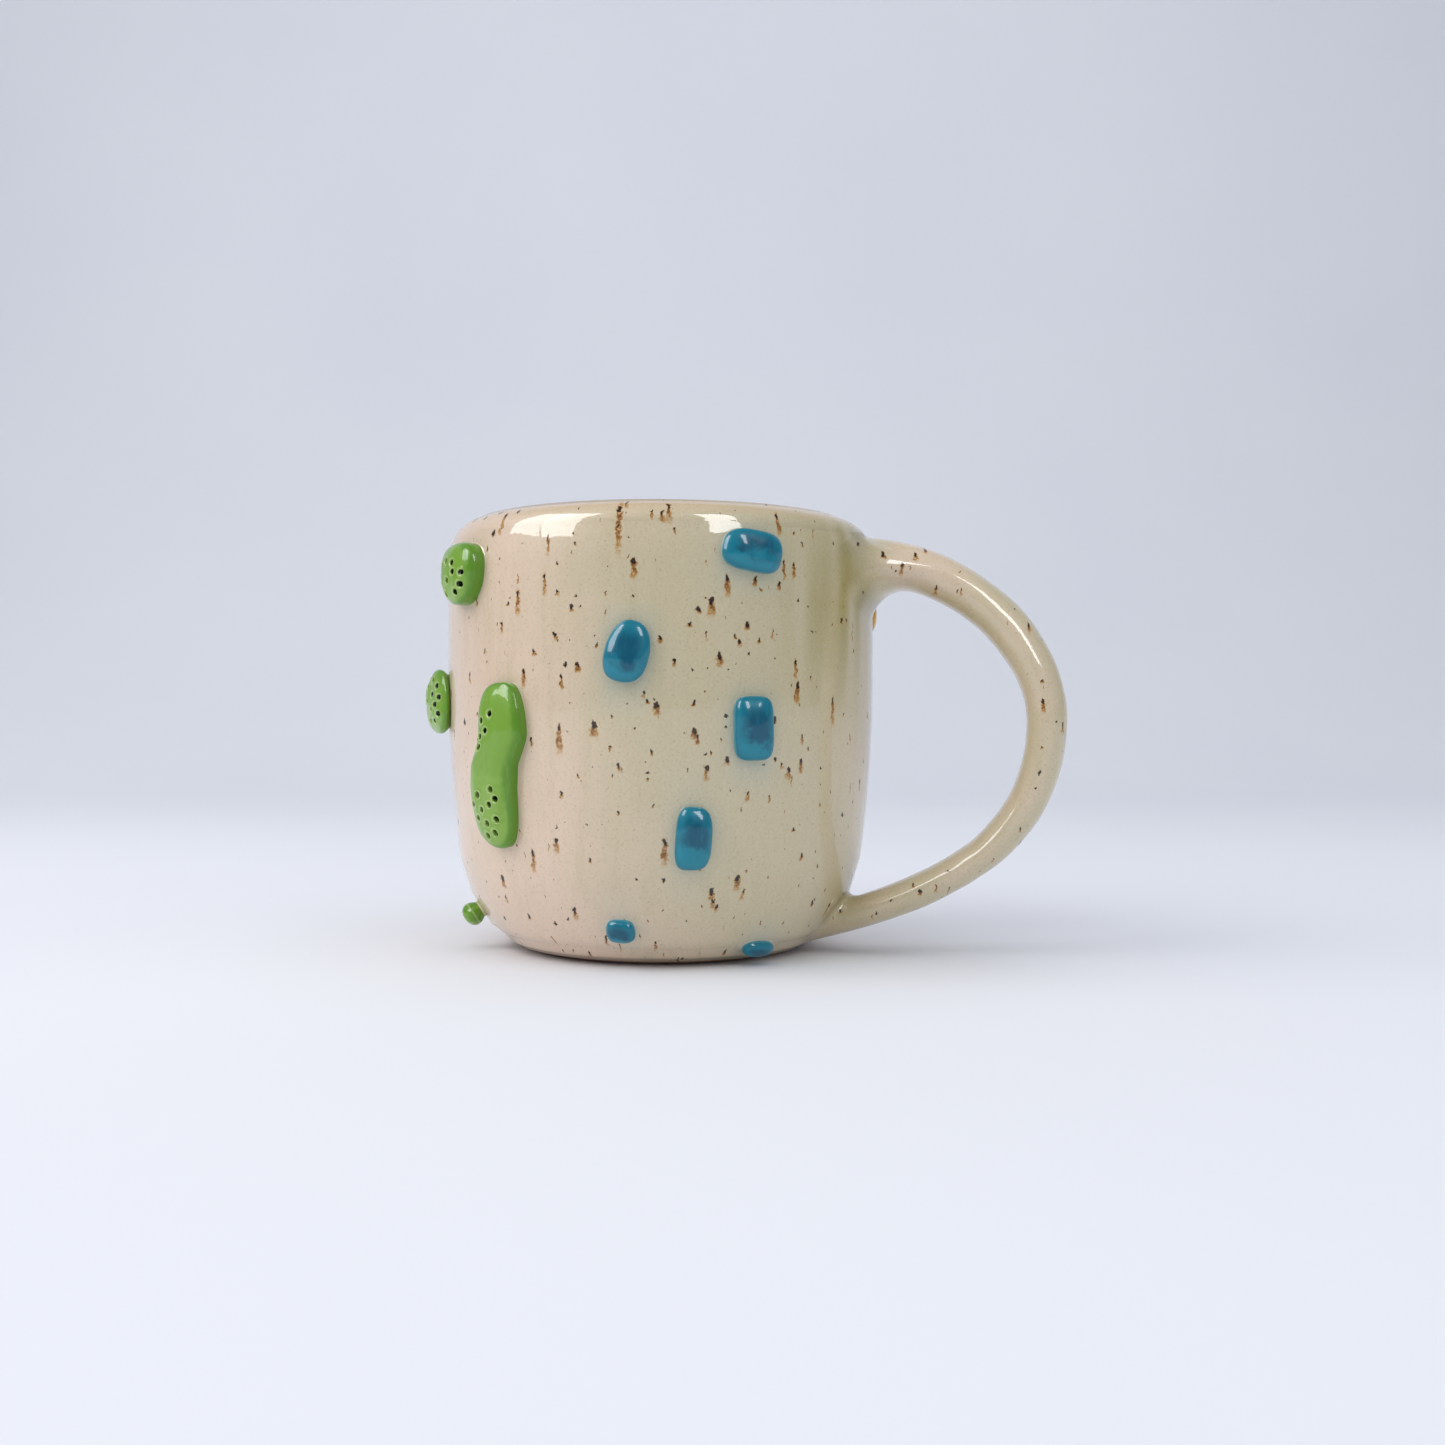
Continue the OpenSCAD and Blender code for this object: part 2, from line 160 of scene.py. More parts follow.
def angles(count):
    """Evenly spaced angles once round, in radians."""
    return np.linspace(0, 2 * math.pi, count, endpoint=False)


def waves(points, length, seed, count=9):
    """A smooth random field between about -1 and 1, with waves of about the given length."""
    rng = np.random.default_rng(seed)
    total = np.zeros(points.shape[:-1])
    for _ in range(count):
        way = unit(rng.normal(size=3)) * 2 * math.pi / (length * rng.uniform(0.7, 1.5))
        total += np.sin(points @ way + rng.uniform(0, 2 * math.pi))
    return total / math.sqrt(count)


def turned(line, cols):
    """Points (r, z) turned round the axis, as a grid with a column for each direction."""
    az = angles(cols)
    r, z = line[:, :1], line[:, 1:]
    return np.stack([r * np.cos(az), r * np.sin(az), z + 0 * az], -1)


def grid_normals(grid, wrap):
    """Unit normals of a grid of points. Its columns close on themselves if wrap is true."""
    if wrap:
        across = np.roll(grid, -1, 1) - np.roll(grid, 1, 1)
    else:
        across = np.gradient(grid, axis=1)
    along = np.gradient(grid, axis=0)
    normal = np.cross(across, along)
    bad = np.linalg.norm(normal, axis=-1) < 1e-9
    out = unit(normal)
    out[bad] = 0
    return out


# ---------------- meshes

def make_object(name, points, faces, normals=None, attributes=None):
    """A smooth-shaded object from points in mm. Attributes are one number a point."""
    mesh = bpy.data.meshes.new(name)
    mesh.from_pydata((np.asarray(points) * MM).tolist(), [], [tuple(f) for f in faces])
    mesh.polygons.foreach_set("use_smooth", [True] * len(mesh.polygons))
    for key, values in (attributes or {}).items():
        layer = mesh.attributes.new(key, "FLOAT", "POINT")
        layer.data.foreach_set("value", np.asarray(values, np.float32).ravel())
    mesh.update()
    if normals is not None:
        mesh.normals_split_custom_set_from_vertices(normals.tolist())
    obj = bpy.data.objects.new(name, mesh)
    bpy.context.scene.collection.objects.link(obj)
    return obj


def strip_faces(rows, cols, start=0, flip=False, wrap=True):
    """Faces of a grid of rows by cols points."""
    i, j = np.meshgrid(np.arange(rows - 1), np.arange(cols if wrap else cols - 1), indexing="ij")
    k = (j + 1) % cols
    quad = np.stack([i * cols + j, i * cols + k, (i + 1) * cols + k, (i + 1) * cols + j], -1)
    quad = quad.reshape(-1, 4) + start
    return quad[:, ::-1] if flip else quad


MARKS = ("pool_and_painted_light", "olive", "halo", "lip")


class Shell:
    """Collects grids into one closed mesh, each grid with its own normals and attributes."""

    def __init__(self):
        self.points, self.normals, self.faces, self.values = [], [], [], []
        self.count = 0

    def add(self, grid, normals, values, flip=False):
        rows, cols = grid.shape[:2]
        self.faces += strip_faces(rows, cols, self.count, flip).tolist()
        self.points.append(grid.reshape(-1, 3))
        self.normals.append(normals.reshape(-1, 3))
        self.values.append(values.reshape(-1, values.shape[-1]))
        self.count += rows * cols

    def cap(self, ring, normal, values, flip=False):
        """Closes a ring of points with a fan round its middle."""
        n = len(ring)
        fan = np.concatenate([ring, ring.mean(0, keepdims=True)])
        base, centre = self.count, self.count + n
        for k in range(n):
            a, b = base + k, base + (k + 1) % n
            self.faces.append([b, a, centre] if flip else [a, b, centre])
        self.points.append(fan)
        self.normals.append(np.tile(np.asarray(normal, float), (n + 1, 1)))
        self.values.append(np.tile(np.asarray(values, float), (n + 1, 1)))
        self.count += n + 1

    def tube(self, grid, normals, values, first, last, ends=None):
        """A grid whose two ends are closed by fans that face first and last."""
        ends = ends or (values[0].mean(0), values[-1].mean(0))
        self.add(grid, normals, values, flip=True)
        self.cap(grid[0], first, ends[0])
        self.cap(grid[-1], last, ends[1], flip=True)

    def build(self, name, keys):
        values = np.concatenate(self.values)
        return make_object(name, np.concatenate(self.points), self.faces,
                           np.concatenate(self.normals),
                           {key: values[:, i] for i, key in enumerate(keys)})


# ---------------- the wall as a surface

SLOPE_STEP = 0.1


def wall_frame(az, z):
    """Point, outward normal, direction round the cup and direction up the wall."""
    az, z = np.broadcast_arrays(np.asarray(az, float), np.asarray(z, float))
    r = outer_r(z)
    slope = (outer_r(z + SLOPE_STEP) - outer_r(np.maximum(z - SLOPE_STEP, 0))) / (
        z + SLOPE_STEP - np.maximum(z - SLOPE_STEP, 0))
    c, s = np.cos(az), np.sin(az)
    point = np.stack([r * c, r * s, z], -1)
    lean = np.arctan(slope)
    normal = np.stack([np.cos(lean) * c, np.cos(lean) * s, -np.sin(lean)], -1)
    around = np.stack([-s, c, 0 * z], -1)
    up = np.cross(normal, around)
    return point, normal, around, up


# ---------------- relief pieces

class Relief:
    """One raised piece: where it stands, its outline on the wall and its height."""

    def __init__(self, node, size, height, power=(2.0, 2.0), turn=0.0, lumps=(), seed=0,
                 sway=None, side=0.3, crown=2.6, waist=0.0, tilt=0.0, holes=()):
        low, high = (np.array(c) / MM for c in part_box(node))
        mid = (low + high) / 2
        self.node, self.height, self.turn, self.seed = node, height, math.radians(turn), seed
        self.half = np.array(size) / 2
        self.power, self.lumps, self.sway = power, lumps, sway
        self.side, self.crown, self.waist, self.tilt = side, crown, waist, tilt
        self.holes = holes
        self.az = math.atan2(mid[1], mid[0])
        self.z = float(mid[2])
        for _ in range(6):
            # the box's middle is a little off the wall, along the wall's normal
            point, normal, _, _ = wall_frame(self.az, self.z)
            self.z += float(mid[2] - (point + normal * np.dot(mid - point, normal))[2])
        self.point, self.normal, self.around, self.up = wall_frame(self.az, self.z)

    def outline(self, count):
        """Points of the outline in the piece's own straightened plane."""
        t = angles(count)
        c, s = np.cos(t), np.sin(t)
        u = self.half[0] * np.sign(c) * np.abs(c) ** (2 / self.power[0])
        v = self.half[1] * np.sign(s) * np.abs(s) ** (2 / self.power[1])
        scale = np.ones(count)
        for order, amount, phase in self.lumps:
            scale += amount * np.cos(order * t + phase)
        return np.stack([u * scale, v * scale], 1)

    def to_wall(self, u, v):
        """From the straightened plane to the piece's plane on the wall."""
        if self.sway:
            u = u + self.sway(v)
        c, s = math.cos(self.turn), math.sin(self.turn)
        return c * u - s * v, s * u + c * v

    def place(self, u, v, h):
        """Points at height h over the wall, for places in the straightened plane."""
        a, b = self.to_wall(u, v)
        flat = self.point + a[..., None] * self.around + b[..., None] * self.up
        az = np.arctan2(flat[..., 1], flat[..., 0])
        point, normal, _, _ = wall_frame(az, np.clip(flat[..., 2], 0.2, LIP_Z))
        return point + normal * h[..., None]

    def flatten(self, points):
        """Places of points in the straightened plane, and their heights over the piece's middle."""
        away = points - self.point
        a, b = away @ self.around, away @ self.up
        c, s = math.cos(self.turn), math.sin(self.turn)
        u, v = c * a + s * b, -s * a + c * b
        if self.sway:
            u = u - self.sway(v)
        return u, v, away @ self.normal

    def distance(self, points):
        """Distance from points near the wall to the outline, negative inside it."""
        away = points - self.point
        a, b = away @ self.around, away @ self.up
        near = (np.hypot(a, b) < self.half.max() + 12) & (away @ self.normal > -15)
        out = np.full(points.shape[:-1], 99.0)
        if not near.any():
            return out
        o = self.outline(160)
        x, y = self.to_wall(o[:, 0], o[:, 1])
        p = np.stack([a[near], b[near]], 1)
        gap = np.hypot(p[:, :1] - x, p[:, 1:] - y).min(1)
        x2, y2 = np.roll(x, -1), np.roll(y, -1)
        crosses = ((y > p[:, 1:]) != (y2 > p[:, 1:])) & (
            p[:, :1] < (x2 - x) * (p[:, 1:] - y) / (y2 - y + 1e-12) + x)
        inside = crosses.sum(1) % 2 == 1
        out[near] = np.where(inside, -gap, gap)
        return out


def step_right(v):
    """The soft S of the long green piece."""
    return -1.1 + 3 * smooth(v, -2, 6) + 0.9 * (np.minimum(0, v + 6) / 8.5) ** 2


UPPER_HOLES = ((-1.2, 2.1), (-3.7, 1.5), (1.2, 1.6), (1.6, -0.1), (4.2, -0.4),
               (-4.3, -1.1), (-0.7, -1.5), (3.6, -2.5), (2.0, -3.8), (-2.2, -4.0))
SIDE_HOLES = ((1.0, 4.4), (3.2, 3.2), (-1.4, 3.0), (1.4, 1.6), (4.2, 1.0), (2.8, -0.4),
              (-1.2, 0.2), (0.8, -1.4), (3.8, -2.2), (1.8, -3.6), (-1.0, -3.6))
BACK_HOLES = ((-1.6, 2.4), (1.4, 2.0), (-2.6, -0.4), (0.2, -0.2),
              (2.6, -0.8), (-0.8, -2.6), (1.6, -3.0))
LONG_HOLES = ((-0.6, 9.4), (-3.0, 8.2), (-1.7, 6.4), (-3.3, 5.3), (-3.0, 3.4),
              (1.9, -4.1), (-1.6, -5.2), (2.8, -5.8), (1.2, -6.9), (-0.9, -7.9),
              (-3.4, -7.0), (-2.6, -9.5), (0.0, -10.3), (2.4, -9.5), (1.4, -12.0), (-0.8, -12.6))

GREEN = [   # size along and up the wall, height, how square the outline is, turn, lumps, seed
    Relief("green_disc_upper", (12.2, 11.8), 4.4, (2.3, 2.3), 0, ((3, 0.045, -1.57), (2, 0.02, 0.6)), 1,
           holes=UPPER_HOLES, side=0.48, crown=2.8),
    Relief("green_disc_side", (12.4, 12.6), 4.1, (2.4, 2.2), 0, ((3, 0.03, 2.0),), 2,
           holes=SIDE_HOLES, side=0.5, waist=0.2, crown=2.6, tilt=0.5),
    Relief("green_long_piece", (10.5, 29.8), 3.9, (2.5, 4.6), 0, ((5, 0.01, 0.4),), 3,
           sway=step_right, holes=LONG_HOLES, side=0.46, crown=2.8),
    Relief("green_disc_back", (10.8, 10.2), 3.6, (2.3, 2.3), 20, ((3, 0.04, 0.0),), 4,
           holes=BACK_HOLES, side=0.55, crown=3.2),
    Relief("green_bud", (4.4, 4.2), 4.0, (2.2, 2.2), 0, ((3, 0.07, 0.0),), 5,
           side=0.5, waist=0.3, crown=2.2),
]
TEAL = [
    Relief("teal_pebble_top", (11.2, 7.4), 2.9, (3.2, 2.7), -8, ((1, 0.02, 0.4), (3, 0.02, 2.2)), 11),
    Relief("teal_pebble_centre", (7.7, 10.9), 3.0, (2.4, 2.4), -15, ((1, 0.03, 4.2), (3, 0.03, 1.2)), 12),
    Relief("teal_pebble_right", (7.4, 11.6), 3.0, (3.0, 3.6), 2, ((4, -0.02, 0.0), (2, 0.01, 1.0)), 13),
    Relief("teal_pebble_lower", (6.3, 11.1), 2.9, (3.4, 3.3), -3, ((1, 0.015, 1.2), (3, 0.02, 0.6)), 14),
    Relief("teal_pebble_small", (5.2, 4.6), 2.3, (3.1, 2.7), 0, ((1, 0.03, 1.5),), 15),
    Relief("teal_pebble_foot", (6.8, 3.8), 2.1, (2.1, 2.2), -10, ((1, 0.14, 0.0), (2, 0.04, 0.0)), 16),
]
YELLOW = [
    Relief("yellow_pebble_handle", (8.0, 8.0), 2.7, (2.1, 2.0), 20, ((3, 0.03, 0.3),), 21,
           side=0.15, crown=2.0),
    Relief("yellow_pebble_long", (6.8, 15.0), 2.7, (2.5, 3.2), -10, ((3, 0.03, 1.3),), 22),
    Relief("yellow_pebble_high", (9.4, 7.0), 2.7, (2.7, 2.5), 12, ((3, 0.03, 2.3),), 23),
    Relief("yellow_pebble_low", (7.0, 6.0), 2.5, (2.5, 2.4), 0, ((2, 0.03, 0.8),), 24),
    Relief("yellow_pebble_round", (8.4, 8.4), 2.7, (2.2, 2.2), 0, ((3, 0.03, 1.6),), 25),
]

RELIEF_COLS = 112
RELIEF_DOME = 34
RELIEF_SIDE = 10
SUNK = 0.9               # how far a piece's sides go on under the glaze


def relief_grid(r):
    """A relief piece as a grid from its crown's middle to its foot, and its own places."""
    outline = r.outline(RELIEF_COLS)
    q = np.sin(np.linspace(0.02, 1, RELIEF_DOME) * math.pi / 2)
    dome = r.height * (r.side + (1 - r.side) * (1 - q ** r.crown) ** (1 / 2.1))
    down = np.linspace(1, 0, RELIEF_SIDE + 1)[1:]
    edge = r.side * r.height
    h = np.concatenate([dome, (edge + SUNK) * down - SUNK])
    pinch = 1 - r.waist * smooth(1 - down, 0.0, 0.75)
    scale = np.concatenate([q, pinch])
    u = scale[:, None] * outline[None, :, 0]
    v = scale[:, None] * outline[None, :, 1]
    hh = h[:, None] * np.where(h[:, None] > 0, 1 - r.tilt * u / r.half[0], 1)
    points = r.place(u, v, hh)
    lump = waves(points, 5.5, r.seed) * 0.10 + waves(points, 2.2, r.seed + 100) * 0.025
    fade = smooth(np.concatenate([np.ones(RELIEF_DOME), down]))[:, None]
    points = r.place(u, v, hh + lump * fade * min(1.0, r.height / 2.5))
    return points, u, v, scale


def relief_object(r, worked=True):
    points, u, v, scale = relief_grid(r)
    if worked:
        points = hand_made(points)
    shell = Shell()
    normals = grid_normals(points, True)
    values = np.stack([
        np.repeat(np.minimum(scale, 1)[:, None], RELIEF_COLS, 1),
        v / r.half[1], u / r.half[0]], -1)
    top, foot = points[0].mean(0), points[-1].mean(0)
    shell.tube(points, -normals, values, unit(top - foot), unit(foot - top), ((0, 0, 0), (1, 0, 0)))
    return shell.build(r.node + "_glazed", ("edge", "rise", "across"))


HOLE_R = 0.56
HOLE_DEPTH = 2.2
ROD_RINGS = ((2.5, 1.25), (0.0, 1.0), (-1.2, 0.95), (-HOLE_DEPTH, 0.7))    # rise, share of width
VOXEL = 0.16


def prick_rods(r):
    """The rods that prick a piece's holes, as one object."""
    shell = Shell()
    t = angles(14)
    for k, (u, v) in enumerate(r.holes):
        wide = HOLE_R * (1 + 0.15 * math.sin(7.1 * k + r.seed))
        face = r.height * (1 - r.tilt * u / r.half[0])
        rod = np.stack([flat_place(r, u + wide * share * np.cos(t), v + wide * share * np.sin(t),
                                   np.full(t.shape, face + rise)) for rise, share in ROD_RINGS])
        blank = np.zeros(rod.shape)
        shell.tube(rod, blank, blank, (0, 0, 1), (0, 0, 1))
    return make_object(r.node + "_rods", np.concatenate(shell.points), shell.faces)


def pierced_object(r):
    """A relief piece with its pricked holes cut, then softened as glaze softens them."""
    obj = relief_object(r, worked=False)
    cutter = prick_rods(r)
    weld(cutter)
    weld(obj)
    cut = obj.modifiers.new("prick", "BOOLEAN")
    cut.operation = "DIFFERENCE"
    cut.object = cutter
    cut.solver = "EXACT"
    skin = obj.modifiers.new("skin", "REMESH")
    skin.mode = "VOXEL"
    skin.voxel_size = VOXEL * MM
    soft = obj.modifiers.new("soft", "SMOOTH")
    soft.factor = 0.5
    soft.iterations = 4
    apply_modifiers(obj)
    bpy.data.objects.remove(cutter)
    mesh = obj.data
    points = read_points(mesh)
    u, v, height = r.flatten(points)
    hole = np.full(len(points), 9.0)
    for hu, hv in r.holes:
        hole = np.minimum(hole, np.hypot(u - hu, v - hv))
    open_air = smooth(height, 0.4 * r.height, 0.7 * r.height)
    lift = 0.09 * np.exp(-((hole - 0.82) / 0.22) ** 2) * open_air
    points = hand_made(points + lift[:, None] * r.normal)
    mesh.vertices.foreach_set("co", (points * MM).ravel())
    edge = np.clip(np.abs(v / r.half[1]) ** r.power[1] + np.abs(u / r.half[0]) ** r.power[0], 0, 1)
    store(mesh, "edge", np.where(height > 0.2 * r.height, edge, 1))
    store(mesh, "rise", v / r.half[1])
    store(mesh, "across", u / r.half[0])
    store(mesh, "hole", np.where(open_air > 0.02, hole, 9.0))
    mesh.polygons.foreach_set("use_smooth", [True] * len(mesh.polygons))
    mesh.update()
    return obj


COLLAR_IN = 0.35         # a collar starts this far inside the piece it climbs up
COLLAR_OUT = 2.3         # and ends this far outside it
COLLAR_H = 0.85
COLLAR_FALL = 0.5


def collar_object(r):
    """The cream glaze that has crept up round a piece, as a closed ring."""
    outline = r.outline(RELIEF_COLS) * (1 - 0.8 * r.waist)
    along = np.roll(outline, -1, 0) - np.roll(outline, 1, 0)
    out = unit(np.stack([along[:, 1], -along[:, 0]], 1))
    e = np.concatenate([np.linspace(-COLLAR_IN, 1.2, 15), np.linspace(1.3, COLLAR_OUT, 9)])
    h = COLLAR_H * np.exp(-(e + COLLAR_IN) / COLLAR_FALL) * (1 - smooth(e, 1.2, COLLAR_OUT))
    h = h + 0.12 * np.exp(-((e - 1.45) / 0.35) ** 2) * (1 - smooth(e, 1.6, COLLAR_OUT)) + 0.01

    def rings(at, height):
        u = outline[None, :, 0] + at[:, None] * out[None, :, 0]
        v = outline[None, :, 1] + at[:, None] * out[None, :, 1]
        return r.place(u, v, np.repeat(height[:, None], RELIEF_COLS, 1))

    base = rings(e, 0 * h)
    top = hand_made(rings(e, h))
    marks = glaze_marks(base)
    under = np.array([0, len(e) // 2, len(e) - 1])
    low = hand_made(rings(e[under], np.full(3, -0.35)))
    normals, low_normals = grid_normals(top, True), grid_normals(low, True)
    sign = np.sign((normals[-1] @ r.normal).mean())
    shell = Shell()
    turned = sign < 0
    shell.add(top, normals * sign, marks, flip=turned)
    shell.add(low, -low_normals * sign, marks[under], flip=not turned)
    for row, low_row, flip in ((0, 0, not turned), (-1, -1, turned)):
        wall = np.stack([top[row], low[low_row]])
        side = unit(wall.mean(0) - top[len(e) // 2]) if row else unit(top[0] - top[3])
        shell.add(wall, np.stack([side, side]), np.stack([marks[row]] * 2), flip=flip)
    return shell.build(r.node + "_collar", MARKS)


def flat_place(r, u, v, h):
    """A place over the piece's middle plane, without the wall's curve."""
    mid_u, mid_v = np.full(u.shape, u.mean()), np.full(v.shape, v.mean())
    centre = r.place(mid_u, mid_v, h)
    a, b = r.to_wall(u, v)
    a0, b0 = r.to_wall(mid_u, mid_v)
    return centre + (a - a0)[..., None] * r.around + (b - b0)[..., None] * r.up


def store(mesh, key, values):
    layer = mesh.attributes.get(key) or mesh.attributes.new(key, "FLOAT", "POINT")
    layer.data.foreach_set("value", np.asarray(values, np.float32))


def read_points(mesh):
    out = np.empty(len(mesh.vertices) * 3)
    mesh.vertices.foreach_get("co", out)
    return out.reshape(-1, 3) / MM


def weld(obj):
    """Joins points that share a place, so that a mesh made of several grids is closed."""
    join = obj.modifiers.new("join", "WELD")
    join.merge_threshold = 1e-6
    apply_modifiers(obj)


def apply_modifiers(obj):
    graph = bpy.context.evaluated_depsgraph_get()
    mesh = bpy.data.meshes.new_from_object(obj.evaluated_get(graph))
    obj.modifiers.clear()
    obj.data = mesh


# ---------------- the handle as a surface

def cubic(c, t):
    t = t[:, None]
    return (1 - t) ** 3 * c[0] + 3 * t * (1 - t) ** 2 * c[1] + 3 * t ** 2 * (1 - t) * c[2] + t ** 3 * c[3]


UPPER_ARC = np.array([[BODY_R - 6, ROOT_TOP], [0.78 * REACH, ROOT_TOP],
                      [REACH, ELBOW_H + 0.5 * (ROOT_TOP - ELBOW_H)], [REACH, ELBOW_H]])
LOWER_ARC = np.array([[REACH, ELBOW_H], [REACH, ROOT_LOW + 0.46 * (ELBOW_H - ROOT_LOW)],
                      [0.77 * REACH, ROOT_LOW + 0.185 * (ELBOW_H - ROOT_LOW)],
                      [float(outer_r(ROOT_LOW)) - ROOT_LOW_IN, ROOT_LOW]])


def handle_line(s):
    """Middle line (x, z) at s: 0 is the upper end, 1 the elbow and 2 the lower end."""
    s = np.asarray(s, float)
    return np.where((s < 1)[:, None], cubic(UPPER_ARC, np.clip(s, 0, 1)),
                    cubic(LOWER_ARC, np.clip(s - 1, 0, 1)))


def eased(values, s):
    a, b, c = values
    return np.where(s < 1, a + (b - a) * s, b + (c - b) * (s - 1))


FILLET_TOP = 9.5         # radius worked into the clay round the upper root
FILLET_LOW = 3.0         # and round the lower one
FILLET_SIDE = 0.65       # how much more there is at the upper root's sides, as a share
FILLET_EDGE = 0.08       # thickness at which a fillet runs out on the wall


def wall_distance(p):
    """Distance from points to the cup's outside, negative inside it."""
    r, z = np.hypot(p[..., 0], p[..., 1]), p[..., 2]
    low = np.clip(z, SLOPE_STEP, LIP_Z)
    slope = (outer_r(low) - outer_r(low - SLOPE_STEP)) / SLOPE_STEP
    side = (r - outer_r(low)) / np.sqrt(1 + slope ** 2)
    out, up = np.maximum(r - LIP_TOP_R, 0), np.maximum(z - LIP_Z, 0)
    k1 = np.hypot(out / LIP_OUT, up / LIP_H)
    k2 = np.maximum(np.hypot(out / LIP_OUT ** 2, up / LIP_H ** 2), 1e-9)
    return np.where(z > LIP_Z, k1 * (k1 - 1) / k2, side)


def wall_normal(p):
    """The wall's outward direction nearest to points round it."""
    steps = 0.05 * np.eye(3)
    return unit(np.stack([wall_distance(p + e) - wall_distance(p - e) for e in steps], -1))


def fillet_at(z):
    """Radius of the clay worked in round the roots, small under the lip and over the table."""
    r = FILLET_LOW + (FILLET_TOP - FILLET_LOW) * smooth(z, 30, 50)
    return r * (1 - 0.85 * smooth(z, 73, 81)) * (0.3 + 0.7 * smooth(z, 1, 8))


# ---------------- the glazed cup

OUTER_COLS = 480
OUTER_ROWS = 188
INNER_ROWS = 130
LIP_DIP = 0.32            # the lip lies this far under its true height, and is tilted as much
LIP_DIP_AZ = math.radians(-40)
SHOULDER = 0.3           # how far the wall has leaned in by the time the lip starts
SHOULDER_Z = 75.0
LEAN_END = 0.8           # share of the shoulder's height over the lip's start where leaning ends


RING_WAVE = 2.3          # height over which a throwing ring's wave turns by one radian
RING_DEPTH = 0.02
UNEVEN = 0.05            # how far the wall wanders in and out
DENT_AZ, DENT_Z = -0.62, 64     # where the glaze is lumpy beside the handle's upper root


def hand_made(points):
    """The slight unevenness of a thrown cup: a dipping lip, a soft shoulder, throwing rings."""
    out = points.copy()
    z = points[..., 2]
    az = np.arctan2(points[..., 1], points[..., 0])
    high = smooth(z, 77, BODY_H)
    out[..., 2] -= LIP_DIP * (1 + np.cos(az - LIP_DIP_AZ)) * high
    r = np.hypot(points[..., 0], points[..., 1])
    push = RING_DEPTH * np.sin(z / RING_WAVE + 0.4 * np.sin(az)) + UNEVEN * waves(points, 24, 7)
    near_root = np.exp(-((az - DENT_AZ) / 0.3) ** 2 - ((z - DENT_Z) / 13) ** 2) * (r < BODY_R + 3)
    push = push + UNEVEN * waves(points * np.array([1, 1, 0.45]), 6, 8) * near_root
    push = push * smooth(z, 0.5, 8)
    outer = smooth(r, LIP_TOP_R - 1.0, LIP_TOP_R + 1.5)
    t = np.clip((z - SHOULDER_Z) / (LIP_Z - SHOULDER_Z), 0, 1 + LEAN_END)
    over = np.maximum(t - 1, 0)
    lean = np.minimum(t, 1) ** 2 + 2 * over - over ** 2 / LEAN_END
    push = push - SHOULDER * lean * outer
    out[..., 0] += push * points[..., 0] / np.maximum(r, 1)
    out[..., 1] += push * points[..., 1] / np.maximum(r, 1)
    return out


# Direction round the cup where the khaki is strongest. It is the side turned away from the lamps at the
# left, so the khaki there is partly painted shade.
POOL_AND_SHADE_AZ = math.radians(-32)
ROLL = 0.22              # the glaze has run into a thicker roll over the bare foot
ROLL_Z = 1.9
ROLL_H = 0.7


def glaze_marks(points):
    """Attributes of the cream glaze: greenish khaki pooling that is partly painted shade, olive pooling,
    teal halo, thin lip.
    """
    x, y, z = points[..., 0], points[..., 1], points[..., 2]
    facing = np.cos(np.arctan2(y, x) - POOL_AND_SHADE_AZ)
    # Khaki pooling: partly the glaze's own tone, partly painted shade that darkens the side turned away
    # from the lamps at the left.
    pool_and_painted_light = 0.92 * smooth(facing, 0.0, 1.0) + 0.12 * smooth(z, 10, 70) + 0.12 * waves(points, 34, 31)
    root = np.exp(-((np.hypot(x - 39, y + 12) / 14) ** 2) - ((z - 68) / 16) ** 2)
    root_low = np.exp(-((np.hypot(x - 34, y) / 12) ** 2) - ((z - 11) / 8) ** 2)
    stripe = 0.5 + 0.5 * waves(points * np.array([1, 1, 0.15]), 5.0, 33)
    olive = np.clip(0.9 * root * (0.4 + 0.6 * stripe) + 0.55 * root_low, 0, 1)
    r = np.hypot(x, y)
    lip = smooth(z, 81.0, 83.6) * smooth(r, 36.0, 38.5)
    low = 1 - smooth(z, 1.2, 16)
    pool_and_painted_light = np.clip(pool_and_painted_light - 0.35 * low, 0, 1)
    halo = np.zeros(pool_and_painted_light.shape)
    for piece in TEAL:
        e = piece.distance(points)
        halo = np.maximum(halo, np.exp(-np.maximum(e, 0) / 1.3))
        below = points[..., 2] < piece.z
        halo = np.maximum(halo, 0.2 * np.exp(-np.maximum(e, 0) / 4.0) * below)
    return np.stack([pool_and_painted_light, olive, halo, lip], -1)


def cup_outside():
    """The outside as a grid, from the glaze's lower edge to the lip's highest line."""
    base = turned(outside_line(BARE_H, OUTER_ROWS), OUTER_COLS)
    z = base[..., 2:]
    roll = ROLL * np.exp(-((z - ROLL_Z) / ROLL_H) ** 2)
    thin = GLAZE * 0.6 * (1 - smooth(z, BARE_H, BARE_H + 0.5))
    return base + grid_normals(base, True) * (roll - thin), glaze_marks(base)


def cup_grids():
    """The whole glazed cup, its normals and its marks, from the foot to the floor inside."""
    outside, marks_out = cup_outside()
    inside = turned(inside_line(INNER_ROWS)[:-1], OUTER_COLS)
    marks_in = glaze_marks(inside)
    whole = hand_made(np.concatenate([outside, inside[1:]]))
    normals = -grid_normals(whole, True)
    return whole, normals, np.concatenate([marks_out, marks_in[1:]])


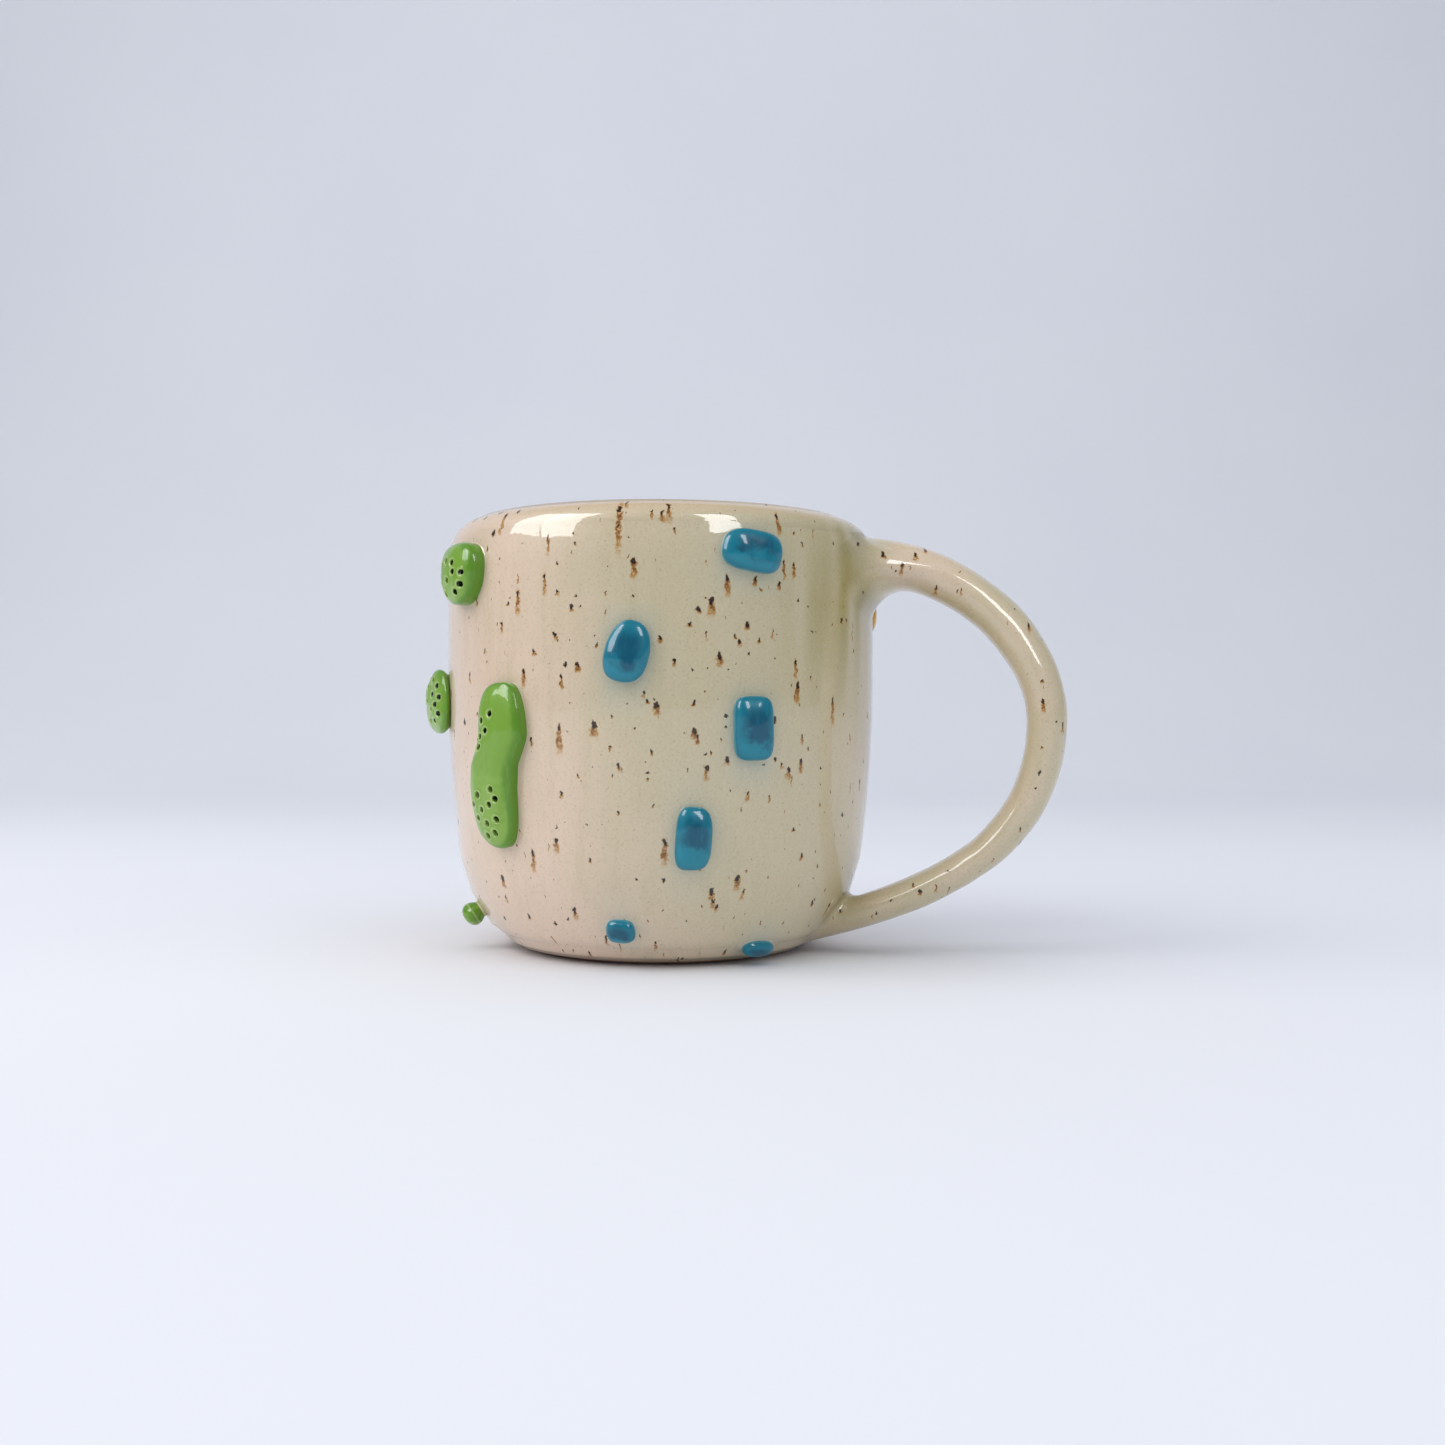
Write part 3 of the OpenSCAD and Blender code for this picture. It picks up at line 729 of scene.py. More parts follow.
def glaze_shell(name, grid, normals, marks, close_low):
    """A closed skin of glaze under a grid of its outer face."""
    shell = Shell()
    shell.add(grid, normals, marks, flip=True)
    back_rows = np.unique(np.linspace(0, len(grid) - 1, 14).astype(int))
    back = grid[back_rows] - normals[back_rows] * GLAZE
    shell.add(back, -normals[back_rows], marks[back_rows])
    for row in (0, -1):
        edge = np.stack([grid[row], grid[row] - normals[row] * GLAZE])
        side = unit(grid[row] - grid[row + 1 if row == 0 else row - 1])
        if row == -1 and close_low:
            continue
        shell.add(edge, np.stack([side, side]), np.stack([marks[row]] * 2), flip=(row == -1))
    if close_low:
        shell.cap(grid[-1], (0, 0, 1), marks[-1].mean(0))
        shell.cap(back[-1], (0, 0, -1), marks[-1].mean(0), flip=True)
    return shell.build(name, MARKS)


CLAY_COLS = 240
UNDER_GLAZE = 0.9        # how far the clay's skin lies under the glaze's outer face


def clay_body():
    """The bare clay: the foot that shows, and the wall and floor under the glaze."""
    foot = np.stack([np.linspace(0.4, FOOT_R - 0.8, 24), np.zeros(24)], 1)
    low = np.linspace(0.0, 1, 12) ** 1.5 * (BARE_H + 0.8)
    curve = np.stack([outer_r(low) - 0.25, np.maximum(low, 0.12)], 1)
    covered = []
    for line in (outside_line(BARE_H + 1.0, 60)[1:-4], inside_line(60)[4:-1]):
        slope = unit(np.gradient(line, axis=0))
        covered.append(line + UNDER_GLAZE * np.stack([-slope[:, 1], slope[:, 0]], 1))
    line = np.concatenate([foot, curve, *covered])
    grid = turned(line, CLAY_COLS)
    r = line[:, :1]
    grain = 0.05 * waves(grid, 3.0, 51) + 0.03 * waves(grid, 1.1, 52)
    standing = (grid[..., 2] < 0.02)
    grid[..., 2] += np.where(standing, np.abs(grain) * smooth(FOOT_R - r, 0.5, 3), 0)
    shell = Shell()
    normals = grid_normals(grid, True)
    blank = np.zeros(grid.shape[:2] + (1,))
    shell.tube(grid, -normals, blank, (0, 0, -1), (0, 0, 1))
    return shell.build("mug_clay", ("blank",))


# ---------------- the glazed handle

HANDLE_COLS = 96
HANDLE_ROWS = 360
ROOT_UP_S = 0.02         # where the visible mesh starts and ends, inside the wall
ROOT_LOW_S = 1.998
JOINT_UP_S = 0.27        # where the worked clay at each root gives way to the plain handle
JOINT_LOW_S = 1.78


def handle_rows():
    """Places along the handle, closer together at its roots."""
    s = np.linspace(ROOT_UP_S, ROOT_LOW_S, 2000)
    crowd = 1 + 6 * (1 - smooth(s, 0.12, 0.3)) + 6 * smooth(s, 1.78, 1.92)
    along = np.cumsum(crowd) - crowd[0]
    return np.interp(np.linspace(0, along[-1], HANDLE_ROWS), along, s)


def handle_grid():
    """The handle's skin, flared into the wall, and how much of each point is the wall's own."""
    s = handle_rows()
    p, d = handle_line(s), unit(np.gradient(handle_line(s), s, axis=0))
    a = angles(HANDLE_COLS)
    half_t, half_w = eased(THICK, s) / 2, eased(WIDTH, s) / 2
    ca, sa = np.cos(a), np.sin(a)
    off = np.stack([half_t[:, None] * ca, half_w[:, None] * sa], -1)
    length = np.linalg.norm(off, axis=-1)
    out = np.stack([-d[:, 1], 0 * s, d[:, 0]], 1)
    way = unit(off[..., :1] * out[:, None, :] + off[..., 1:] * np.array([0.0, 1.0, 0.0]))
    skin = np.stack([p[:, 0], 0 * s, p[:, 1]], 1)[:, None, :] + way * length[..., None]
    push = 0.13 * waves(skin, 19, 61) + 0.05 * waves(skin, 7, 62)
    free = (smooth(s, 0.25, 0.5) * (1 - smooth(s, 1.6, 1.8)))[:, None]
    skin = skin + way * (push * free)[..., None]
    r = fillet_at(skin[..., 2]) * (1 + FILLET_SIDE * (sa ** 2) * (s < 1)[:, None])
    lift = np.zeros(r.shape)
    for _ in range(20):
        climb = np.clip(r - wall_distance(skin + way * lift[..., None]), 0, r - FILLET_EDGE)
        lift = 0.5 * lift + 0.5 * (r - np.sqrt(r ** 2 - climb ** 2))
    grid = skin + way * lift[..., None]
    grid[..., 2] = np.maximum(grid[..., 2], 0.35)
    facing = ca[None, :] + 0 * s[:, None]
    return grid, s, facing, smooth(climb / r, 0.5, 0.97)


def handle_marks(grid, s, facing):
    """The same attributes as the cup's glaze, for the handle's own pooling, with a painted reflection
    along its outer edge.
    """
    mark = glaze_marks(grid)
    free = (smooth(s, 0.2, 0.45) * (1 - smooth(s, 1.7, 1.9)))[:, None]
    # Khakier towards the handle's outer edge: a painted reflection of the greenish sheen along that
    # grazing edge, over the glaze's own pooling.
    own = np.clip(0.7 + 0.3 * smooth(facing, 0.25, 0.95) + 0.12 * waves(grid, 14, 71), 0, 1)
    mark[..., 0] = mark[..., 0] * (1 - free) + own * free
    thin = smooth(wall_distance(grid), 0.5, 8) * (1 - smooth(s, 0.3, 0.6))[:, None]
    mark[..., 0] *= 1 - 0.45 * thin
    mark[..., 1] *= 1 - 0.85 * thin
    under = np.exp(-((s - 0.42) / 0.2) ** 2)[:, None] * smooth(-facing, 0.2, 0.9)
    mark[..., 1] = np.clip(mark[..., 1] * (1 - free) + 0.5 * under, 0, 1)
    mark[..., 3] = mark[..., 3] * (1 - free)
    return mark


def tube_piece(name, grid, normals, marks):
    """A length of the handle, closed at both ends."""
    shell = Shell()
    first = unit(grid[0].mean(0) - grid[1].mean(0))
    last = unit(grid[-1].mean(0) - grid[-2].mean(0))
    shell.tube(grid, normals, marks, first, last)
    return shell.build(name, MARKS)


# ---------------- materials

GLASS_IOR = 1.5


class Nodes:
    """A short way to write a node tree: each call adds a node and gives back its output."""

    def __init__(self, name):
        self.material = bpy.data.materials.new(name)
        self.material.use_nodes = True
        self.tree = self.material.node_tree
        self.tree.nodes.clear()
        self.out = self.tree.nodes.new("ShaderNodeOutputMaterial")

    def set(self, socket, value):
        if isinstance(value, bpy.types.NodeSocket):
            self.tree.links.new(value, socket)
        elif value is not None:
            socket.default_value = value

    def node(self, kind, **settings):
        node = self.tree.nodes.new(kind)
        for key, value in settings.items():
            setattr(node, key, value)
        return node

    def math(self, operation, a, b=None, c=None, clamp=False):
        node = self.node("ShaderNodeMath", operation=operation, use_clamp=clamp)
        for socket, value in zip(node.inputs, (a, b, c)):
            self.set(socket, value)
        return node.outputs[0]

    def mul(self, a, b):
        return self.math("MULTIPLY", a, b)

    def add(self, a, b):
        return self.math("ADD", a, b)

    def sub(self, a, b):
        return self.math("SUBTRACT", a, b)

    def vector(self, operation, a, b=None, scale=None):
        node = self.node("ShaderNodeVectorMath", operation=operation)
        self.set(node.inputs[0], a)
        self.set(node.inputs[1], b)
        if scale is not None:
            self.set(node.inputs["Scale"], scale)
        return node.outputs["Value" if operation in ("LENGTH", "DOT_PRODUCT") else "Vector"]

    def ease(self, value, low, high, to_low=0.0, to_high=1.0):
        """A smooth step from low to high."""
        node = self.node("ShaderNodeMapRange", interpolation_type="SMOOTHSTEP", clamp=True)
        for key, item in zip(("Value", "From Min", "From Max", "To Min", "To Max"),
                             (value, low, high, to_low, to_high)):
            self.set(node.inputs[key], item)
        return node.outputs[0]

    def mix(self, factor, a, b):
        node = self.node("ShaderNodeMix", data_type="RGBA", clamp_factor=True)
        self.set(node.inputs["Factor"], factor)
        self.set(node.inputs[6], colour(a) if isinstance(a, tuple) else a)
        self.set(node.inputs[7], colour(b) if isinstance(b, tuple) else b)
        return node.outputs[2]

    def noise(self, place, scale, detail=2.0, rough=0.5):
        node = self.node("ShaderNodeTexNoise")
        self.set(node.inputs["Vector"], place)
        node.inputs["Scale"].default_value = scale
        node.inputs["Detail"].default_value = detail
        node.inputs["Roughness"].default_value = rough
        return node.outputs["Fac"]

    def attribute(self, key):
        return self.node("ShaderNodeAttribute", attribute_name=key).outputs["Fac"]

    def place(self):
        """The object's own coordinates, in millimetres."""
        here = self.node("ShaderNodeTexCoord").outputs["Object"]
        return self.vector("SCALE", here, scale=1 / MM)

    def split(self, vector):
        node = self.node("ShaderNodeSeparateXYZ")
        self.set(node.inputs[0], vector)
        return node.outputs

    def join(self, x, y, z):
        node = self.node("ShaderNodeCombineXYZ")
        for socket, value in zip(node.inputs, (x, y, z)):
            self.set(socket, value)
        return node.outputs[0]

    def glossy(self, base, rough, bump, coat=1.0, coat_rough=0.03, normal_strength=1.0, bump_mm=0.02):
        shader = self.node("ShaderNodeBsdfPrincipled")
        self.set(shader.inputs["Base Color"], base)
        self.set(shader.inputs["Roughness"], rough)
        for key, value in (("IOR", GLASS_IOR), ("Specular IOR Level", 0.2 if coat else 0.5),
                           ("Coat Weight", coat), ("Coat Roughness", coat_rough),
                           ("Coat IOR", GLASS_IOR)):
            shader.inputs[key].default_value = value
        if bump is not None:
            node = self.node("ShaderNodeBump")
            node.inputs["Strength"].default_value = normal_strength
            node.inputs["Distance"].default_value = bump_mm * MM
            self.set(node.inputs["Height"], bump)
            self.set(shader.inputs["Normal"], node.outputs[0])
            self.set(shader.inputs["Coat Normal"], node.outputs[0])
        self.tree.links.new(shader.outputs[0], self.out.inputs["Surface"])
        return self.material


def channel(c):
    c = c / 255
    return c / 12.92 if c <= 0.04045 else ((c + 0.055) / 1.055) ** 2.4


def colour(rgb):
    """A colour given as display values from 0 to 255."""
    return tuple(channel(c) for c in rgb) + (1.0,)


PINK_CREAM = (230, 205, 182)
KHAKI = (207, 194, 161)
OLIVE = (154, 142, 66)
HALO_BLUE = (166, 190, 186)
LIP_TAN = (216, 190, 158)
STREAK = (188, 176, 136)
GRAIN_DARK = (168, 146, 116)
GRAIN_PALE = (232, 220, 200)
RUST = (184, 132, 54)
RUST_DARK = (116, 64, 18)
CORE = (26, 14, 6)
PEPPER = (130, 100, 68)
TINTED_MARKS = (("olive", 0.85, OLIVE), ("halo", 0.4, HALO_BLUE), ("lip", 0.75, LIP_TAN))

# Random specks: cell width, core, length of run, share of cells that have one, seed
SPECK_LAYERS = [(3.3, 0.18, 0.8, 0.5, 3.0), (5.6, 0.34, 2.2, 0.5, 17.0), (10.5, 0.5, 4.5, 0.5, 41.0)]


# Iron specks that are placed one by one: azimuth, height, size and length of the run, mm
SPECKS = [
    (-82, 81.5, 0.6, 8.5), (-70, 82.0, 0.5, 3.5), (-74, 81.0, 0.3, 1.5), (-116, 82.0, 0.4, 4.0),
    (-100, 77.0, 0.4, 3.5), (-101, 70.0, 0.4, 3.5), (-109, 67.5, 0.5, 4.5), (-56, 69.5, 0.5, 3.5),
    (-60, 65.5, 0.7, 3.0), (-63, 64.0, 0.4, 0.8), (-51, 61.5, 0.5, 1.2), (-58, 56.0, 0.7, 2.2),
    (-37, 51.0, 0.6, 3.5), (-24, 48.5, 0.5, 5.0), (-97, 43.5, 0.6, 5.0), (-88, 44.0, 0.7, 2.5),
    (-64, 43.0, 0.6, 1.8), (-73, 47.5, 0.6, 2.0), (-74, 39.5, 0.4, 1.0), (-82, 37.0, 0.4, 1.2),
    (-61, 36.5, 0.5, 2.5), (-35, 37.5, 0.5, 2.5), (-39, 36.0, 0.5, 2.0), (-56, 38.0, 0.6, 1.2),
    (-97, 32.0, 0.4, 1.2), (-99, 23.5, 0.5, 2.5), (-33, 20.5, 0.4, 1.2), (-52, 17.0, 0.6, 2.5),
    (-58, 13.0, 0.4, 1.5), (-96, 11.0, 0.6, 2.0), (-71, 23.5, 0.6, 4.5), (-13, 10.0, 0.5, 2.5),
    (-92, 54.5, 0.5, 1.6), (-113, 9.0, 0.5, 0.6), (-42, 81.0, 0.4, 4.0), (-38, 72.5, 0.4, 3.0),
    (-53, 58.5, 0.5, 1.2), (-54, 59.6, 0.3, 0.8), (-69, 55.0, 0.4, 1.0), (-48, 59.0, 0.35, 0.6),
    (-76, 49.5, 0.35, 1.0), (-98, 60.0, 0.4, 1.6), (-104, 57.0, 0.4, 1.0), (-41, 37.0, 0.4, 1.0),
]
HANDLE_SPECKS = [(43.0, 75.8, 0.6, 1.0), (49.7, 75.9, 0.5, 1.5), (46.7, 73.8, 0.5, 2.2),
                 (72.9, 48.2, 0.4, 2.2), (52.2, 77.0, 0.4, 0.6), (50.7, 12.8, 0.4, 1.0)]
SPECK_SCALE = 0.95       # from a speck's listed size to its core's half width
RUN_AZ_R = 41.0          # radius at which distances round the cup are taken


def speck_marks(n, x, y, size, run):
    """Two masks, x to the right of a speck and y over it: its dark core, and its rusty run."""
    flat_y = n.mul(y, 0.55)
    away = n.add(n.mul(x, x), n.mul(flat_y, flat_y))
    core = n.ease(n.math("SQRT", away), n.mul(size, 0.35), n.mul(size, 0.85), 1, 0)
    down = n.math("DIVIDE", y, n.mul(run, -1))
    wide = n.mul(size, n.ease(down, 0, 0.8, 1.0, 1.5))
    side = n.ease(n.math("DIVIDE", n.math("ABSOLUTE", x), wide), 0.3, 1.1, 1, 0)
    ends = n.mul(n.ease(down, -0.25, 0.02), n.ease(down, 0.35, 1.05, 1, 0))
    return core, n.mul(side, ends)


def speck_layer(n, flat, cell, size, run, keep, seed):
    """Random specks over the unrolled surface, one at most in each cell of the given width."""
    squash = 0.6
    spot = n.vector("MULTIPLY", n.vector("ADD", flat, (seed, seed * 0.7, 0)),
                    (1 / cell, squash / cell, 0))
    cells = n.node("ShaderNodeTexVoronoi", feature="F1", voronoi_dimensions="2D")
    n.set(cells.inputs["Vector"], spot)
    cells.inputs["Scale"].default_value = 1.0
    away = n.vector("MULTIPLY", n.vector("SUBTRACT", spot, cells.outputs["Position"]),
                    (cell, cell / squash, 0))
    pick = n.split(cells.outputs["Color"])
    own = n.mul(n.ease(pick[0], 0, 1, 0.45, 1.3), size)
    tail = n.mul(n.ease(pick[1], 0.15, 1, 0.15, 1.0), run)
    here = n.math("LESS_THAN", pick[2], keep)
    x, y = n.split(away)[:2]
    return [n.mul(mark, here) for mark in speck_marks(n, x, y, own, tail)]


def glaze_run(n, u, v, az, top, low, sway):
    """A thin raised run of glaze that winds down from `top` to `low`."""
    middle = n.add(n.mul(n.math("SINE", n.mul(v, 0.55)), sway), math.radians(az) * RUN_AZ_R)
    off = n.math("ABSOLUTE", n.sub(u, middle))
    ends = n.mul(n.ease(v, low, low + 3), n.ease(v, top - 3, top, 1, 0))
    return n.mul(n.ease(off, 0.1, 1.1, 1, 0), ends)


GLAZE_RUNS = [(-29, 72, 58, 0.7), (-38, 64, 54, -0.9), (-46, 51, 45, 0.5)]


def largest(n, items):
    """The largest of several values."""
    out = items[0]
    for item in items[1:]:
        out = n.math("MAXIMUM", out, item)
    return out


def unroll(n, place, how):
    """The surface laid flat, and the way round the cup and the height, all in mm.

    `how` is "wall", "inside" or "handle".
    """
    x, y, z = n.split(place)[:3]
    around = n.mul(n.math("ARCTAN2", y, x), RUN_AZ_R)
    flat = n.join(around, z, 0)
    if how == "inside":
        floor = n.node("ShaderNodeMix", data_type="VECTOR")
        n.set(floor.inputs["Factor"], n.math("LESS_THAN", z, 15.0))
        n.set(floor.inputs[4], flat)
        n.set(floor.inputs[5], n.join(x, y, 0))
        flat = floor.outputs[1]
    if how == "handle":
        flat = n.join(n.add(x, n.mul(y, 0.4)), z, 0)
    return flat, around, z


def cream_ground(n, place):
    """The cream glaze's colour without its specks."""
    # The khaki mix is partly real pooling and partly painted light: painted shade on the side away from
    # the left lamps, and a painted reflection on the handle's outer edge.
    pool_and_painted_light = n.attribute("pool_and_painted_light")
    tone = n.noise(place, 0.06, 3)
    pool_and_painted_light = n.add(pool_and_painted_light, n.mul(n.sub(tone, 0.5), 0.6))
    base = n.mix(n.ease(pool_and_painted_light, 0.05, 1.0), PINK_CREAM, KHAKI)
    for key, share, tint in TINTED_MARKS:
        base = n.mix(n.mul(n.attribute(key), share), base, tint)
    streak = n.noise(n.vector("MULTIPLY", place, (1, 1, 0.12)), 0.35, 3, 0.6)
    base = n.mix(n.ease(streak, 0.45, 0.8, 0, 0.25), base, STREAK)
    grain = n.noise(place, 2.2, 3, 0.7)
    base = n.mix(n.ease(grain, 0.52, 0.72, 0, 0.34), base, GRAIN_DARK)
    base = n.mix(n.ease(grain, 0.46, 0.28, 0, 0.25), base, GRAIN_PALE)
    return base


def add_specks(n, base, place, flat, placed):
    """The glaze with its iron specks, and the mask of the specks' cores."""
    bend_u = n.mul(n.sub(n.noise(place, 0.9, 4, 0.65), 0.5), 1.7)
    bend_v = n.mul(n.sub(n.noise(place, 1.3, 3, 0.6), 0.5), 0.9)
    u, v = n.split(n.vector("ADD", flat, n.join(bend_u, bend_v, 0)))[:2]
    core = rust = 0.0
    for across, height, size, run in placed:
        marks = speck_marks(n, n.sub(u, across), n.sub(v, height),
                            size * SPECK_SCALE, max(run, 0.9) * 1.1)
        core, rust = (n.math("MAXIMUM", a, b) for a, b in zip((core, rust), marks))
    bent = n.join(u, v, 0)
    for layer in SPECK_LAYERS:
        marks = speck_layer(n, bent, *layer)
        core, rust = (n.math("MAXIMUM", a, b) for a, b in zip((core, rust), marks))
    broken = n.noise(place, 1.5, 3, 0.7)
    rust = n.mul(rust, n.ease(broken, 0.32, 0.6, 0.25, 1.0))
    base = n.mix(n.ease(rust, 0, 0.5, 0, 0.85), base, RUST)
    base = n.mix(n.ease(rust, 0.35, 1.0, 0, 0.85), base, RUST_DARK)
    base = n.mix(n.ease(core, 0.1, 0.75, 0, 0.96), base, CORE)
    pepper_core = speck_layer(n, bent, 1.15, 0.11, 0.3, 0.45, 71.0)[0]
    base = n.mix(n.mul(pepper_core, 0.35), base, PEPPER)
    return base, core


def cream_glaze(name, placed, how):
    """Glossy cream glaze over speckled clay. `placed` are specks with a known place."""
    n = Nodes(name)
    place = n.place()
    flat, around, z = unroll(n, place, how)
    if how == "wall":
        placed = [(math.radians(az) * RUN_AZ_R, *others) for az, *others in placed]
    base, core = add_specks(n, cream_ground(n, place), place, flat, placed)
    rise = n.noise(place, 0.5, 2)
    if how == "wall":
        runs = largest(n, [glaze_run(n, around, z, *item) for item in GLAZE_RUNS])
        rise = n.add(rise, n.mul(runs, 3.0))
    rough = n.ease(core, 0, 1, 0.4, 0.55)
    return n.glossy(base, rough, rise, coat_rough=0.025, normal_strength=0.3, bump_mm=0.05)


# Each coloured glaze: its middle, its edge, the veil low down, and a pale tint that is a painted
# highlight on the piece's sides or round its holes
GREEN_TINTS = (122, 166, 54), (96, 147, 38), (136, 177, 74), (184, 208, 130)
TEAL_TINTS = (0, 86, 112), (14, 122, 144), (20, 136, 156), (100, 170, 184)
YELLOW_TINTS = (222, 170, 50), (206, 146, 30), (234, 194, 96), (240, 214, 140)
PAINTED_HOLE_SHADE = (12, 16, 6)


def piece_glaze(name, mid, outer, veil, painted_highlight, pierced, span=(0.75, 1.2)):
    """A coloured glaze from its four tints. `span` is where the middle's turns into the edge's."""
    n = Nodes(name)
    place = n.place()
    edge, rise, across = (n.attribute(k) for k in ("edge", "rise", "across"))
    cloud = n.noise(place, 0.28, 3, 0.6)
    streak = n.noise(n.vector("MULTIPLY", place, (1, 1, 0.22)), 1.2, 3, 0.6)
    base = n.mix(n.ease(n.add(edge, n.mul(cloud, 0.5)), *span), mid, outer)
    low = n.add(n.mul(rise, -0.9), n.mul(n.sub(cloud, 0.5), 2.2))
    low = n.sub(low, n.mul(across, 0.25))
    inner = n.ease(edge, 0.97, 0.75)
    base = n.mix(n.mul(n.ease(low, -0.05, 0.5, 0, 0.85), inner), base, veil)
    base = n.mix(n.ease(streak, 0.5, 0.72, 0, 0.3), base, veil)
    fine = n.noise(place, 2.6, 3, 0.7)
    base = n.mix(n.ease(fine, 0.5, 0.8, 0, 0.2), base, mid)
    if pierced:
        hole = n.attribute("hole")
        # A pale ring painted round each hole: a painted highlight on the hole's rim.
        ring = n.mul(n.ease(hole, 0.5, 0.66), n.ease(hole, 0.72, 1.05, 1, 0))
        base = n.mix(n.mul(ring, 0.6), base, painted_highlight)
        # The inside of each hole painted near black: painted shade in the hole.
        base = n.mix(n.ease(hole, 0.42, 0.58, 1, 0), base, PAINTED_HOLE_SHADE)
    else:
        # The piece's sides painted pale: a painted highlight along its outline.
        base = n.mix(n.ease(edge, 0.985, 1.0, 0, 0.5), base, painted_highlight)
    peel = n.noise(place, 0.7, 2)
    return n.glossy(base, 0.35, peel, coat=0.6, coat_rough=0.02, normal_strength=0.35, bump_mm=0.06)


CLAY_PALE = (196, 160, 128)
CLAY_TAN = (172, 134, 104)
CLAY_GRAIN = (140, 104, 78)
CLAY_SPECK = (60, 40, 30)
CLAY_FLASHED = (150, 100, 70)


def bare_clay():
    """Unglazed clay, redder just under the glaze."""
    n = Nodes("bare_clay")
    place = n.place()
    cloud = n.noise(place, 0.12, 4, 0.6)
    base = n.mix(n.ease(cloud, 0.3, 0.7), CLAY_PALE, CLAY_TAN)
    grain = n.noise(place, 2.2, 4, 0.75)
    base = n.mix(n.ease(grain, 0.5, 0.75, 0, 0.5), base, CLAY_GRAIN)
    core = speck_layer(n, place, 3.0, 0.3, 0.5, 0.5, 9.0)[0]
    base = n.mix(n.mul(core, 0.9), base, CLAY_SPECK)
    z = n.split(place)[2]
    base = n.mix(n.ease(z, 0.2, 1.6, 0.0, 0.55), base, CLAY_FLASHED)
    return n.glossy(base, 0.85, grain, coat=0.0, normal_strength=0.8, bump_mm=0.12)


# ---------------- the object

def put(obj, material, slot, *nodes):
    """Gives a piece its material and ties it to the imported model."""
    obj.data.materials.append(material)
    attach(obj, BODY)
    if nodes:
        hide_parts(*nodes)


def build_mug():
    outside_glaze = cream_glaze("cream_glaze_outside", SPECKS, "wall")
    inside_glaze = cream_glaze("cream_glaze_inside", [], "inside")
    handle_glaze = cream_glaze("cream_glaze_handle", HANDLE_SPECKS, "handle")

    whole, normals, marks = cup_grids()
    seam = OUTER_ROWS - 1
    outer = glaze_shell("glaze_outside_skin", whole[:seam + 1], normals[:seam + 1],
                        marks[:seam + 1], False)
    put(outer, outside_glaze, "cream_glaze", "glaze_outside")
    inner = glaze_shell("glaze_inside_skin", whole[seam:], normals[seam:], marks[seam:], True)
    put(inner, inside_glaze, "cream_glaze", "glaze_inside")
    put(clay_body(), bare_clay(), "bare_clay", "mug_body")

    grid, s, facing, wall_share = handle_grid()
    own = wall_share[..., None]
    grid = hand_made(grid)
    tube_normals = unit(-grid_normals(grid, True) * (1 - own) + wall_normal(grid) * own)
    tube_marks = handle_marks(grid, s, facing)
    up = int(np.searchsorted(s, JOINT_UP_S))
    low = int(np.searchsorted(s, JOINT_LOW_S))
    for name, rows, node in (("handle_upper_root", slice(0, up + 1), "handle_upper_joint"),
                             ("handle_loop", slice(up, low + 1), "handle"),
                             ("handle_lower_root", slice(low, None), "handle_lower_joint")):
        piece = tube_piece(name, grid[rows], tube_normals[rows], tube_marks[rows])
        put(piece, handle_glaze, "cream_glaze", node)

    green_pierced = piece_glaze("green_glaze_pierced", *GREEN_TINTS, True)
    green_plain = piece_glaze("green_glaze", *GREEN_TINTS, False)
    teal = piece_glaze("teal_glaze", *TEAL_TINTS, False, (0.6, 1.15))
    yellow = piece_glaze("yellow_glaze", *YELLOW_TINTS, False)
    for r in GREEN:
        if r.holes:
            put(pierced_object(r), green_pierced, "green_glaze", r.node)
        else:
            put(relief_object(r), green_plain, "green_glaze", r.node)
    for r in TEAL:
        put(relief_object(r), teal, "teal_glaze", r.node)
    for r in YELLOW:
        put(relief_object(r), yellow, "yellow_glaze", r.node)
    for r in GREEN + TEAL + YELLOW:
        put(collar_object(r), outside_glaze, "cream_glaze")


# ---------------- camera, light and ground

CAMERA_AZ = math.radians(-72)
CAMERA_AWAY = 292.0
CAMERA_H = 44.4
LENS_PX = 1447.0
FRAME_PX = 1445.0
AXIS_LEFT_PX = 62.0      # the mug's axis stands this far left of the frame's middle


def make_camera():
    data = bpy.data.cameras.new("camera")
    data.sensor_width = 36.0
    data.lens = 36.0 * LENS_PX / FRAME_PX
    data.shift_x = AXIS_LEFT_PX / FRAME_PX
    data.clip_start = 0.01
    obj = bpy.data.objects.new("camera", data)
    bpy.context.scene.collection.objects.link(obj)
    obj.location = (CAMERA_AWAY * math.cos(CAMERA_AZ) * MM, CAMERA_AWAY * math.sin(CAMERA_AZ) * MM,
                    CAMERA_H * MM)
    obj.rotation_euler = (math.radians(90), 0, CAMERA_AZ + math.radians(90))
    bpy.context.scene.camera = obj


def from_camera(right, away, up):
    """A place given from the mug: right and away as the camera sees it, and up, in metres."""
    c, s = math.cos(CAMERA_AZ), math.sin(CAMERA_AZ)
    return (-s * right - c * away, c * right - s * away, up)


